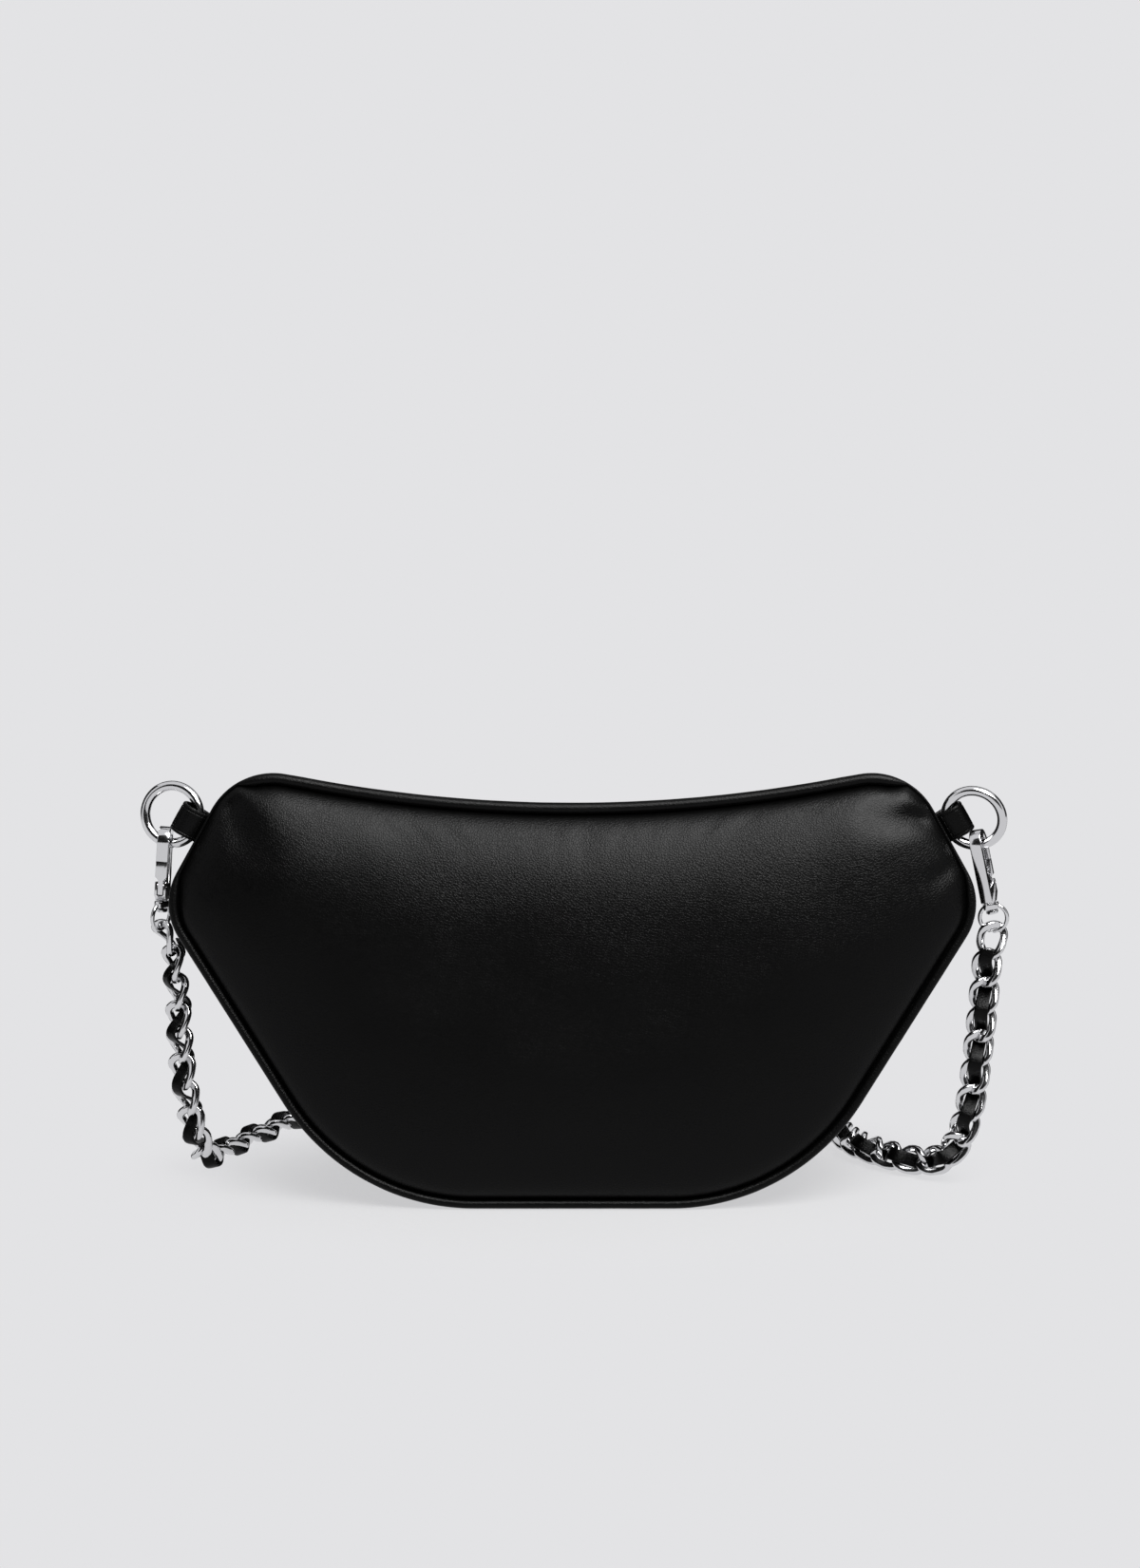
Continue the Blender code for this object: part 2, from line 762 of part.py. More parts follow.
def make_teeth(name, side):
    """One row of teeth: a bead with a tooth on every second stretch, which meets the other row's gaps."""
    steps = 2 * tooth_count()
    top = TAPE_MIDDLE + TOOTH_HEIGHT / 2
    low = TAPE_MIDDLE - TOOTH_HEIGHT / 2
    near = side * RAIL_OPENING / 2
    far = side * (RAIL_OPENING / 2 + RAIL_WIDTH)
    tip = near - side * TOOTH_REACH
    half_gap = GAP / 2 / DIP_RADIUS
    bm = bmesh.new()
    rows = []
    for step in range(steps + 1):
        angle = TEETH_START + (TEETH_END - TEETH_START) * step / steps
        owner_ends_here = (step % 2 == 1) == (side == FRONT)
        angle += -half_gap if owner_ends_here else half_gap
        section = ((near, top), (far, top), (far, low), (near, low))
        rows.append([bm.verts.new(zip_point(across, rise, angle)) for across, rise in section])
        rows[-1].append(angle)
    for step, (row, following) in enumerate(zip(rows, rows[1:])):
        for index in range(4):
            after = (index + 1) % 4
            if index == 3 and (step % 2 == 0) == (side == FRONT):
                add_tooth(bm, row, following, tip, top, low)
                continue
            bm.faces.new((row[index], row[after], following[after], following[index]))
    bm.faces.new(rows[0][:4])
    bm.faces.new(rows[-1][:4])
    return set_origin(place_mesh(name, bm, METAL), lip_origin(side))


def add_tooth(bm, row, following, tip, top, low):
    """Pushes one stretch of the bead's near face out into a tooth."""
    outer = [
        bm.verts.new(zip_point(tip, rise, angle))
        for rise, angle in ((low, row[4]), (top, row[4]), (top, following[4]), (low, following[4]))
    ]
    base = [row[3], row[0], following[0], following[3]]
    bm.faces.new(outer)
    for index in range(4):
        after = (index + 1) % 4
        bm.faces.new((base[index], base[after], outer[after], outer[index]))


def slider_outline():
    """The slider's plate seen from above: a wide nose towards +X and a narrower tail."""
    half = SLIDER_LENGTH / 2
    nose = SLIDER_NOSE / 2
    tail = SLIDER_TAIL / 2
    corner = SLIDER_PLATE
    right_side = [
        (half, nose - corner),
        (half - corner, nose),
        (-half + corner, tail),
        (-half, tail - corner),
    ]
    left_side = [(x, -y) for x, y in reversed(right_side)]
    return right_side + left_side


def upright_prism(name, points, low, high, material):
    """A flat outline in X and Y, pushed along Z from low to high."""
    bm = bmesh.new()
    face = bm.faces.new([bm.verts.new((x, y, low)) for x, y in points])
    pushed = bmesh.ops.extrude_face_region(bm, geom=[face])
    moved = [part for part in pushed["geom"] if isinstance(part, bmesh.types.BMVert)]
    bmesh.ops.translate(bm, verts=moved, vec=(0, 0, high - low))
    return place_mesh(name, bm, material)


def slider_heights():
    """Inner and outer faces of the slider's two plates."""
    room = TOOTH_HEIGHT / 2 + GAP
    low = TAPE_MIDDLE - room
    high = TAPE_MIDDLE + room
    return low - SLIDER_PLATE, low, high, high + SLIDER_PLATE


def make_slider():
    low, channel_low, channel_high, high = slider_heights()
    body = upright_prism("zip_slider", slider_outline(), low, high, METAL)
    half = SLIDER_LENGTH / 2
    channel = RAIL_OPENING / 2 + RAIL_WIDTH + 2 * GAP
    slot = TAPE_WALL / 2 + GAP
    past = half + OVERRUN
    wide = SLIDER_NOSE / 2 + OVERRUN
    channel_cut = box("channel", (-past, -channel, channel_low), (past, channel, channel_high), METAL)
    slot_cut = box("slot", (-past, -wide, TAPE_MIDDLE - slot), (past, wide, TAPE_MIDDLE + slot), METAL)
    body = combine(body, [channel_cut, slot_cut], "DIFFERENCE")
    post_start = half - 2 * SLIDER_POST
    post_end = half - MERGE
    wedge = [(post_end, SLIDER_POST / 2), (post_start, 0), (post_end, -SLIDER_POST / 2)]
    post = upright_prism("post", wedge, low + GAP, high - GAP, METAL)
    foot = high - GAP
    arch = [
        (-BAIL_REACH, 0, foot),
        (-BAIL_REACH, 0, high + BAIL_RISE - BAIL_RADIUS),
        (-BAIL_REACH / 2, 0, high + BAIL_RISE),
        (BAIL_REACH / 2, 0, high + BAIL_RISE),
        (BAIL_REACH, 0, high + BAIL_RISE - BAIL_RADIUS),
        (BAIL_REACH, 0, foot),
    ]
    bail = as_mesh(tube_curve("bail", arch, BAIL_RADIUS, METAL))
    body = combine(body, [post, bail], "UNION")
    body.matrix_world = zip_frame(SLIDER_ANGLE)
    return set_origin(body, travel_origin())


def pull_axis_rise():
    """The pull's hinge bar lies just above the slider's top plate."""
    return slider_heights()[3] + GAP + PULL_WALL / 2


def make_pull():
    """A flat tag with a slot at its head: the bar past the slot turns under the slider's bail."""
    bar = PULL_WALL
    slot_end = BAIL_REACH + BAIL_RADIUS + 2 * GAP
    half = PULL_WIDTH / 2
    head = bar / 2
    corner = half / 2
    tag = [
        (head, -half + corner),
        (head, half - corner),
        (head - corner, half),
        (-PULL_LENGTH + corner, half),
        (-PULL_LENGTH, half - corner),
        (-PULL_LENGTH, -half + corner),
        (-PULL_LENGTH + corner, -half),
        (head - corner, -half),
    ]
    pull = upright_prism("zip_pull", tag, -PULL_WALL / 2, PULL_WALL / 2, METAL)
    slot = box(
        "slot",
        (-slot_end, -PULL_SLOT / 2, -OVERRUN),
        (-bar / 2, PULL_SLOT / 2, OVERRUN),
        METAL,
    )
    pull = combine(pull, [slot], "DIFFERENCE")
    pull.matrix_world = zip_frame(SLIDER_ANGLE) @ Matrix.Translation((0, 0, pull_axis_rise()))
    return pull


def make_stop(name, first, last, angle):
    """A metal stop clamped over the end of the teeth."""
    half = STOP_LENGTH / 2
    height = TOOTH_HEIGHT / 2
    stop = box(
        name,
        (-half, first, TAPE_MIDDLE - height),
        (half, last, TAPE_MIDDLE + height),
        METAL,
    )
    stop.matrix_world = zip_frame(angle)
    return stop


def make_stops():
    rail = RAIL_OPENING / 2 + RAIL_WIDTH
    make_stop("zip_bottom_stop", -rail, rail, -STOP_ANGLE)
    make_stop("zip_top_stop_back", -rail, -RAIL_OPENING / 2, STOP_ANGLE)
    make_stop("zip_top_stop_front", RAIL_OPENING / 2, rail, STOP_ANGLE)


def flank_axes():
    """The side's corner, the way up along the bag's upper side, and the way out of it."""
    shoulder = Vector((SHOULDER_HALF, 0, SHOULDER_HEIGHT))
    corner = Vector((SIDE_HALF, 0, SIDE_HEIGHT))
    up = (shoulder - corner).normalized()
    return corner, up, Vector((up.z, 0, -up.x))


def tab_frame(hand):
    """Local X out from the bag's upper side, Z down along it, Y to the front, at the gusset's face.

    The tab sits lower on a flatter side, so that the hook hangs clear of the bag's corner.
    """
    corner, up, out = flank_axes()
    foot = corner + up * (RING_RISE * up.z**2) - out * GUSSET_INSET
    axes = Matrix((out, Vector((0, 1, 0)), -up)).transposed().to_4x4()
    frame = Matrix.Translation(foot + Vector((0, TAB_DEPTH, 0))) @ axes
    return Matrix.Scale(hand, 4, (1, 0, 0)) @ frame


def make_tab(name, hand):
    """A leather strap folded round the O-ring's wire, with both legs on the gusset."""
    inner = RING_WIRE + TAB_ROOM
    outer = inner + TAB_WALL
    fold = TAB_REACH - outer
    half_turn = [math.pi / 2 - math.pi * step / TURN_STEPS for step in range(TURN_STEPS + 1)]
    outside = [(fold + outer * math.cos(turn), outer * math.sin(turn)) for turn in half_turn]
    inside = [(fold + inner * math.cos(turn), inner * math.sin(turn)) for turn in reversed(half_turn)]
    section = [(GAP, outer)] + outside + [(GAP, -outer), (GAP, -inner)] + inside + [(GAP, inner)]
    half = TAB_WIDTH / 2
    tab = upright_prism(name, section, -half - TAB_RISE, half - TAB_RISE, LEATHER)
    set_world(tab, tab_frame(hand))
    return shade(tab)


def set_world(thing, matrix):
    """Places a piece, and bakes a mirror into its mesh so that it stays the right way out."""
    if matrix.determinant() < 0:
        bm = bmesh.new()
        bm.from_mesh(thing.data)
        bmesh.ops.transform(bm, matrix=matrix, verts=bm.verts)
        bmesh.ops.reverse_faces(bm, faces=bm.faces)
        centre = matrix.translation.copy()
        bmesh.ops.translate(bm, verts=bm.verts, vec=-centre)
        bm.to_mesh(thing.data)
        bm.free()
        thing.matrix_world = Matrix.Translation(centre)
    else:
        thing.matrix_world = matrix


def ring_tilt(hand):
    """The left ring's outer side leans away from the back panel, the right one's towards it."""
    return RING_TILT if hand == LEFT else -RING_TILT


def ring_frame(hand):
    """Local Y is the O-ring's axis, X points away from the tab, and Z lies along the tab's fold."""
    tilt = ring_tilt(hand)
    wire = Vector((RING_REACH - RING_RADIUS * math.cos(tilt), 0, 0))
    centre = wire + Vector((math.cos(tilt), math.sin(tilt), 0)) * RING_RADIUS
    return tab_frame(hand) @ Matrix.Translation(centre) @ Matrix.Rotation(tilt, 4, "Z")


def make_ring(name, hand):
    ring = torus(name, RING_RADIUS, RING_WIRE, 20, 6, METAL)
    set_world(ring, ring_frame(hand))
    return ring


def ring_seat(hand):
    """The middle of the wire where the hook hangs, a little outside the O-ring's lowest point."""
    frame = ring_frame(hand)
    out = hand * math.sin(HOOK_SEATS[hand])
    down = frame.to_3x3().inverted() @ Vector((out, 0, -math.cos(HOOK_SEATS[hand])))
    down.y = 0
    return frame @ (down.normalized() * RING_RADIUS)


def hook_frame(hand):
    """Origin at the O-ring's wire, Z up the hook, Y from its spine to its gate, X across its bar."""
    turn, lean, _ = HOOKS[hand]
    swing = Matrix.Rotation(-hand * lean, 4, "Y")
    return Matrix.Translation(ring_seat(hand)) @ swing @ Matrix.Rotation(turn, 4, "Z")


def hook_profile():
    """The hook from its side, Y from spine to gate and Z up: crown, spine, base and cheeks."""
    turns = [math.pi * step / TURN_STEPS for step in range(TURN_STEPS + 1)]
    crown = [(-HOOK_OUTER * math.cos(turn), HOOK_TOP * math.sin(turn)) for turn in turns]
    throat = [(HOOK_INNER * math.cos(turn), HOOK_INNER * math.sin(turn)) for turn in turns]
    nose_end = HOOK_TOP - NOSE_LENGTH
    cheek = HOOK_TOP - CHEEK_TOP
    cheek_in = PIN_DEPTH - HOOK_BAR
    return (
        crown
        + [(HOOK_OUTER, nose_end), (HOOK_INNER, nose_end)]
        + throat
        + [
            (-HOOK_INNER, cheek - HOOK_BAR),
            (cheek_in, cheek - HOOK_BAR / 2),
            (PIN_DEPTH - PIN_RADIUS, cheek),
            (PIN_DEPTH + PIN_RADIUS, cheek),
            (HOOK_OUTER, cheek - PIN_RADIUS),
            (HOOK_OUTER, HOOK_FOOT + BASE_BLOCK),
            (HOOK_BAR, HOOK_FOOT),
            (-HOOK_OUTER + HOOK_BAR / 2, HOOK_FOOT),
            (-HOOK_OUTER, HOOK_FOOT + HOOK_BAR / 2),
        ]
    )


def side_prism(name, points, half_width, material):
    """A flat outline in Y and Z, with equal depth both ways along X."""
    bm = bmesh.new()
    face = bm.faces.new([bm.verts.new((-half_width, y, z)) for y, z in points])
    pushed = bmesh.ops.extrude_face_region(bm, geom=[face])
    moved = [part for part in pushed["geom"] if isinstance(part, bmesh.types.BMVert)]
    bmesh.ops.translate(bm, verts=moved, vec=(2 * half_width, 0, 0))
    return place_mesh(name, bm, material)


def cross_bar(name, radius, half_width, y, z, material, sides=10):
    """A round bar across the hook."""
    bar = cylinder(name, radius, -half_width, half_width, material, sides)
    bar.matrix_world = Matrix.Translation((0, y, z)) @ Matrix.Rotation(math.pi / 2, 4, "Y")
    return bar


def make_hook_body(name, hand):
    body = side_prism(name, hook_profile(), HOOK_WIDTH / 2, METAL)
    slot_half = TONGUE_WIDTH / 2 + GAP
    slot = box(
        "slot",
        (-slot_half, -HOOK_INNER, HOOK_FOOT + BASE_BLOCK),
        (slot_half, HOOK_OUTER + OVERRUN, HOOK_TOP - CHEEK_TOP + OVERRUN),
        METAL,
    )
    pin_hole = cross_bar("pin_hole", PIN_RADIUS + PIN_ROOM, HOOK_WIDTH, PIN_DEPTH, PIN_HEIGHT, METAL)
    stud_hole = cylinder(
        "stud_hole", STUD_RADIUS + STUD_ROOM, HOOK_FOOT - OVERRUN, HOOK_FOOT + STUD_GRIP + GAP, METAL
    )
    body = combine(body, [slot, pin_hole, stud_hole], "DIFFERENCE")
    body.matrix_world = hook_frame(hand)
    return shade(body)


def make_gate(name, hand):
    """A lever that is as wide as the hook above and a narrow tongue between the cheeks below."""
    wide = HOOK_WIDTH / 2
    narrow = TONGUE_WIDTH / 2
    outline_points = [
        (-wide, GATE_TOP),
        (wide, GATE_TOP),
        (wide, GATE_TOP - GATE_FULL + wide - narrow),
        (narrow, GATE_TOP - GATE_FULL),
        (narrow, GATE_TOP - GATE_LENGTH),
        (-narrow, GATE_TOP - GATE_LENGTH),
        (-narrow, GATE_TOP - GATE_FULL),
        (-wide, GATE_TOP - GATE_FULL + wide - narrow),
    ]
    gate = prism(name, outline_points, HOOK_OUTER - GATE_WALL, HOOK_OUTER, METAL)
    hole = cross_bar("hole", PIN_RADIUS + PIN_ROOM, HOOK_WIDTH, PIN_DEPTH, PIN_HEIGHT, METAL)
    gate = combine(gate, [hole], "DIFFERENCE")
    shift = Matrix.Translation((0, PIN_DEPTH, PIN_HEIGHT))
    gate.data.transform(shift.inverted())
    gate.matrix_world = hook_frame(hand) @ shift
    return shade(gate)


def make_gate_pin(name, hand):
    pin = cross_bar(name, PIN_RADIUS, HOOK_WIDTH / 2, PIN_DEPTH, PIN_HEIGHT, METAL, sides=8)
    pin.matrix_world = hook_frame(hand) @ pin.matrix_world
    return shade(pin)


def make_gate_spring(name, hand):
    """A bent wire from the base's floor to the back of the gate."""
    floor = HOOK_FOOT + BASE_BLOCK + GATE_SPRING_RADIUS + GAP
    back = PIN_DEPTH - GATE_WALL / 2 - GATE_SPRING_RADIUS - GAP
    middle = HOOK_TOP - CHEEK_TOP
    points = [
        (0, back - HOOK_BAR, floor),
        (0, -HOOK_BAR / 2, floor),
        (0, -HOOK_BAR, floor + HOOK_BAR),
        (0, -HOOK_BAR / 2, middle),
        (0, back - HOOK_BAR / 2, middle + HOOK_BAR),
        (0, back, middle + 2 * HOOK_BAR),
    ]
    spring = tube_curve(name, points, GATE_SPRING_RADIUS, METAL)
    spring.matrix_world = hook_frame(hand)
    return spring


def make_stud(name, hand):
    """A rivet from the hook's base, through the eye's boss, with its head inside the eye."""
    head_top = EYE_TOP - EYE_BOSS_HEIGHT - GAP
    shaft = cylinder(name, STUD_RADIUS, head_top - GAP, HOOK_FOOT + STUD_GRIP, METAL, sides=10)
    head = cylinder("head", STUD_HEAD, head_top - STUD_HEAD_HEIGHT, head_top, METAL, sides=12)
    stud = combine(shaft, [head], "UNION")
    stud.matrix_world = hook_frame(hand)
    return shade(stud)


def make_eye(name, hand):
    """A round eye with a drilled boss at its top."""
    eye = torus(name, EYE_RADIUS, EYE_WIRE, 16, 6, METAL)
    eye.data.transform(Matrix.Translation((0, 0, EYE_HEIGHT)))
    half_width = EYE_BOSS_WIDTH / 2
    half_depth = EYE_BOSS_DEPTH / 2
    corner = half_depth / 2
    boss_outline = [
        (-half_width, -half_depth + corner),
        (-half_width + corner, -half_depth),
        (half_width - corner, -half_depth),
        (half_width, -half_depth + corner),
        (half_width, half_depth - corner),
        (half_width - corner, half_depth),
        (-half_width + corner, half_depth),
        (-half_width, half_depth - corner),
    ]
    boss = upright_prism("boss", boss_outline, EYE_TOP - EYE_BOSS_HEIGHT, EYE_TOP, METAL)
    eye = combine(eye, [boss], "UNION")
    hole = cylinder(
        "hole", STUD_RADIUS + STUD_ROOM, EYE_TOP - EYE_BOSS_HEIGHT - OVERRUN, EYE_TOP + OVERRUN, METAL
    )
    eye = combine(eye, [hole], "DIFFERENCE")
    eye.matrix_world = hook_frame(hand) @ Matrix.Rotation(HOOKS[hand][2], 4, "Z")
    return shade(eye)


def strap_end(hand):
    """Where the chain's first link touches the inside of an eye."""
    inside = EYE_HEIGHT - EYE_RADIUS + EYE_WIRE
    return hook_frame(hand) @ Vector((0, 0, inside + 2 * GAP + SEAT / 2))


def route_rows():
    """The route's places with their turns, from the left eye by the floor to the right eye."""
    start = strap_end(LEFT)
    end = strap_end(RIGHT)
    rows = []
    for across_share, depth_share, height_share, turn in STRAP_ROUTE_SHARES:
        near = start if across_share < 0 else end
        height = LYING_HEIGHT + (near.z - LYING_HEIGHT) * height_share
        rows.append(Vector((abs(near.x) * across_share, BASE_DEPTH * depth_share, height, turn)))
    first = Vector((*start, rows[0].w))
    last = Vector((*end, rows[-1].w))
    return [first] + rows + [last]


def smooth_route():
    """A smooth curve through the route's places, as close places with their turns."""
    places = route_rows()
    ghosts = [2 * places[0] - places[1]] + places + [2 * places[-1] - places[-2]]
    dense = []
    for index in range(1, len(ghosts) - 2):
        before, here, there, after = ghosts[index - 1 : index + 3]
        for step in range(ROUTE_STEPS):
            share = step / ROUTE_STEPS
            dense.append(
                (
                    2 * here
                    + (there - before) * share
                    + (2 * before - 5 * here + 4 * there - after) * share**2
                    + (3 * here - 3 * there + after - before) * share**3
                )
                / 2
            )
    dense.append(places[-1])
    return dense


def walk(dense, pitch, count):
    """Steps along the route in straight pitches, with a clear gap between runs of links."""
    stops = []
    starts = []
    index = 0
    here = dense[0]
    for link in range(count):
        starts.append(here)
        there, ahead = step_along(dense, index, here, pitch)
        stops.append(there)
        if link % LINKS_IN_A_RUN == LINKS_IN_A_RUN - 1:
            there, ahead = step_along(dense, index, here, pitch - SEAT - RUN_GAP)
        here = there
        index = ahead
    return starts, stops


def step_along(dense, index, here, distance):
    """The next place on the route that lies a straight distance from here."""
    while index + 1 < len(dense) and (dense[index + 1].to_3d() - here.to_3d()).length < distance:
        index += 1
    if index + 1 >= len(dense):
        last = (dense[-1] - dense[-2]).normalized()
        short = distance - (dense[-1].to_3d() - here.to_3d()).length
        return dense[-1] + last * max(short, 0), index
    low = dense[index]
    high = dense[index + 1]
    near = 0
    far = 1
    for _ in range(FITTING_STEPS):
        share = (near + far) / 2
        if (low.lerp(high, share).to_3d() - here.to_3d()).length < distance:
            near = share
        else:
            far = share
    return low.lerp(high, near), index


def fitted_links():
    """The whole number of links that fills the route, each a pitch long."""
    dense = smooth_route()
    length = sum((after.to_3d() - here.to_3d()).length for here, after in zip(dense, dense[1:]))
    count = round(length / (LINK_PITCH - (SEAT + RUN_GAP) / LINKS_IN_A_RUN))
    short = LINK_PITCH * PITCH_LOW_SHARE
    long = LINK_PITCH * PITCH_HIGH_SHARE
    end = dense[-1].to_3d()
    for _ in range(FITTING_STEPS):
        pitch = (short + long) / 2
        _, stops = walk(dense, pitch, count)
        reached = stops[-1].to_3d()
        before = dense[-2].to_3d()
        if (reached - end).dot(end - before) < 0:
            short = pitch
        else:
            long = pitch
    return walk(dense, pitch, count), pitch


def link_frames():
    """One frame per link: X its width, Y its face, Z along the strap."""
    (starts, stops), pitch = fitted_links()
    frames = []
    width = Vector(FIRST_WIDTH_SHARES)
    for start, stop in zip(starts, stops):
        along = (stop.to_3d() - start.to_3d()).normalized()
        width = width - along * width.dot(along)
        width.z = 0
        width = (width - along * width.dot(along)).normalized()
        turn = math.radians((start.w + stop.w) / 2)
        turned = Matrix.Rotation(turn, 3, along) @ width
        face = along.cross(turned)
        frame = Matrix((turned, face, along)).transposed().to_4x4()
        frames.append(Matrix.Translation((start.to_3d() + stop.to_3d()) / 2) @ frame)
    return frames, pitch


def link_points(pitch):
    """A long loop whose two bows are turned opposite ways about its length."""
    half_length = pitch / 2 + LINK_WIRE - SEAT / 2
    straight = half_length - LINK_HALF_WIDTH
    points = []
    for end in (1, -1):
        for step in range(BOW_STEPS + 1):
            turn = math.pi * step / BOW_STEPS
            across = end * LINK_HALF_WIDTH * math.cos(turn)
            along = end * (straight + LINK_HALF_WIDTH * math.sin(turn))
            twist = LINK_TWIST * along / half_length
            points.append(Vector((across * math.cos(twist), across * math.sin(twist), along)))
    return points


def make_chain():
    frames, pitch = link_frames()
    points = link_points(pitch)
    for first in range(0, len(frames), LINKS_IN_A_RUN):
        run = []
        for frame in frames[first : first + LINKS_IN_A_RUN]:
            loop = [frame @ place for place in points]
            run.append(as_mesh(tube_curve("link", loop, LINK_WIRE, METAL, closed=True)))
        name = f"chain_run_{first // LINKS_IN_A_RUN + 1:02d}"
        run[0].name = name
        shade(combine(run[0], run[1:], "UNION"))
    return frames, pitch


def make_lace(frames, pitch):
    """A flat lace that passes over one joint of the chain and under the next."""
    half = pitch / 2
    path = []
    for index in range(len(frames) - 1):
        side = 1 if index % 2 else -1
        turning = frames[index + 1].col[2].to_3d() - frames[index].col[2].to_3d()
        face = (frames[index + 1].col[1] + frames[index].col[1]).to_3d().normalized()
        outer_bend = max(0, -side * face.dot(turning))
        rise = side * (LACE_LIFT + LACE_FLAT * outer_bend / 2)
        for frame, along in ((frames[index], half - LACE_FLAT), (frames[index + 1], LACE_FLAT - half)):
            path.append((frame @ Vector((0, rise, along)), frame.to_3x3() @ Vector((1, 0, 0))))
    rings = []
    for index, (place, width) in enumerate(path):
        before = path[max(index - 1, 0)][0]
        after = path[min(index + 1, len(path) - 1)][0]
        arrive = (place - before).normalized() if index else (after - place).normalized()
        leave = (after - place).normalized() if index + 1 < len(path) else arrive
        along = (arrive + leave).normalized()
        face = width.cross(along).normalized()
        side = along.cross(face).normalized() * (LACE_WIDTH / 2)
        thick = face * (LACE_WALL / 2 / max(along.dot(leave), MITRE_SHARE))
        above = place + thick
        below = place - thick
        rings.append([above + side, above - side, below - side, below + side])
    return loft("lace", rings, LEATHER)


def centre_on_base(strap_names):
    """Moves everything so that the bag, without its strap, is centred over the origin on its base."""
    bpy.context.view_layer.update()
    graph = bpy.context.evaluated_depsgraph_get()
    low = Vector((math.inf,) * 3)
    high = Vector((-math.inf,) * 3)
    for thing in PARTS.objects:
        if thing.name.startswith(strap_names):
            continue
        mesh = thing.evaluated_get(graph).to_mesh()
        for vertex in mesh.vertices:
            place = thing.matrix_world @ vertex.co
            low = Vector(map(min, low, place))
            high = Vector(map(max, high, place))
        thing.evaluated_get(graph).to_mesh_clear()
    shift = Vector((-(low.x + high.x) / 2, -(low.y + high.y) / 2, -low.z))
    for thing in PARTS.objects:
        thing.matrix_world = Matrix.Translation(shift) @ thing.matrix_world
    return shift


def make_bag():
    make_panel("back_panel", BACK, BACK_BULGE)
    make_panel("front_panel", FRONT, FRONT_BULGE)
    make_gusset()
    make_piping("back_piping", BACK)
    make_piping("front_piping", FRONT)
    make_top_roll("back_top_roll", BACK)
    make_top_roll("front_top_roll", FRONT)
    make_lining()


def make_zip():
    for name, side in (("back", BACK), ("front", FRONT)):
        make_strip(f"zip_strip_{name}", side)
        make_tape(f"zip_tape_{name}", side)
        make_teeth(f"zip_teeth_{name}", side)
    make_slider()
    make_pull()
    make_stops()


def make_strap_ends():
    for name, hand in (("left", LEFT), ("right", RIGHT)):
        make_tab(f"tab_{name}", hand)
        make_ring(f"ring_{name}", hand)
        make_hook_body(f"hook_body_{name}", hand)
        make_gate(f"hook_gate_{name}", hand)
        make_gate_pin(f"gate_pin_{name}", hand)
        make_gate_spring(f"gate_spring_{name}", hand)
        make_stud(f"swivel_stud_{name}", hand)
        make_eye(f"swivel_eye_{name}", hand)


clear_scene()
PARTS = new_collection("belt_bag")
LEATHER = new_material("black_leather", (0.012, 0.012, 0.013), 0.42, 0)
CLOTH = new_material("black_cloth", (0.02, 0.02, 0.022), 0.85, 0)
METAL = new_material("polished_steel", (0.78, 0.78, 0.79), 0.14, 1)
FILLINGS = {BACK: filling(BACK), FRONT: filling(FRONT)}

make_bag()
make_zip()
make_strap_ends()
make_lace(*make_chain())
SHIFT = centre_on_base(("chain_run", "lace"))
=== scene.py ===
"""Looks of a black leather belt bag with a leather-laced chain strap, made over its CAD frame."""

import logging
import math
from collections.abc import Callable
from dataclasses import dataclass, field
from enum import Enum

import bmesh
import bpy
import numpy as np
from mathutils import Matrix, Vector, noise

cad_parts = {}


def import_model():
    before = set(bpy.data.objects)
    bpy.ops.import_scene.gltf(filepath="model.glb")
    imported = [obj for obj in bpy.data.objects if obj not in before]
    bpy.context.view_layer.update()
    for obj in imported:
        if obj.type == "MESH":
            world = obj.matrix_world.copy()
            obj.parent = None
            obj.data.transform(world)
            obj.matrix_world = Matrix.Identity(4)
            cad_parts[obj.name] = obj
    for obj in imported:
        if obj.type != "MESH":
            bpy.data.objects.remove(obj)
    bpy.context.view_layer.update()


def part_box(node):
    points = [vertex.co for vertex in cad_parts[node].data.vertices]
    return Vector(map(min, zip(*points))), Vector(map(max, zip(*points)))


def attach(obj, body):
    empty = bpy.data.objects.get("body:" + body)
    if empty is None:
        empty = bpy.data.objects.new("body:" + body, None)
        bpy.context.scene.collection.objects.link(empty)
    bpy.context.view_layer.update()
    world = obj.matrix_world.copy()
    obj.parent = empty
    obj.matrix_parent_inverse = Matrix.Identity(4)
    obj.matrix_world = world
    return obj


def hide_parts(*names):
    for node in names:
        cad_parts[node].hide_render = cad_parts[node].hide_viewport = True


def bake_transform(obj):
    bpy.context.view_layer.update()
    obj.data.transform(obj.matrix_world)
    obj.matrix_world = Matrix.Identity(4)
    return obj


LOG = logging.getLogger("belt_bag")
UP = Vector((0, 0, 1))


class Side(Enum):
    """The back panel faces the camera, the front panel faces away from it."""

    BACK = -1
    FRONT = 1


class Hand(Enum):
    """The two ends of the bag, as the camera sees them."""

    LEFT = -1
    RIGHT = 1


class Slot(Enum):
    """The record's material slots."""

    LEATHER = "black_leather"
    CLOTH = "black_cloth"
    STEEL = "polished_steel"


# ---- meshes


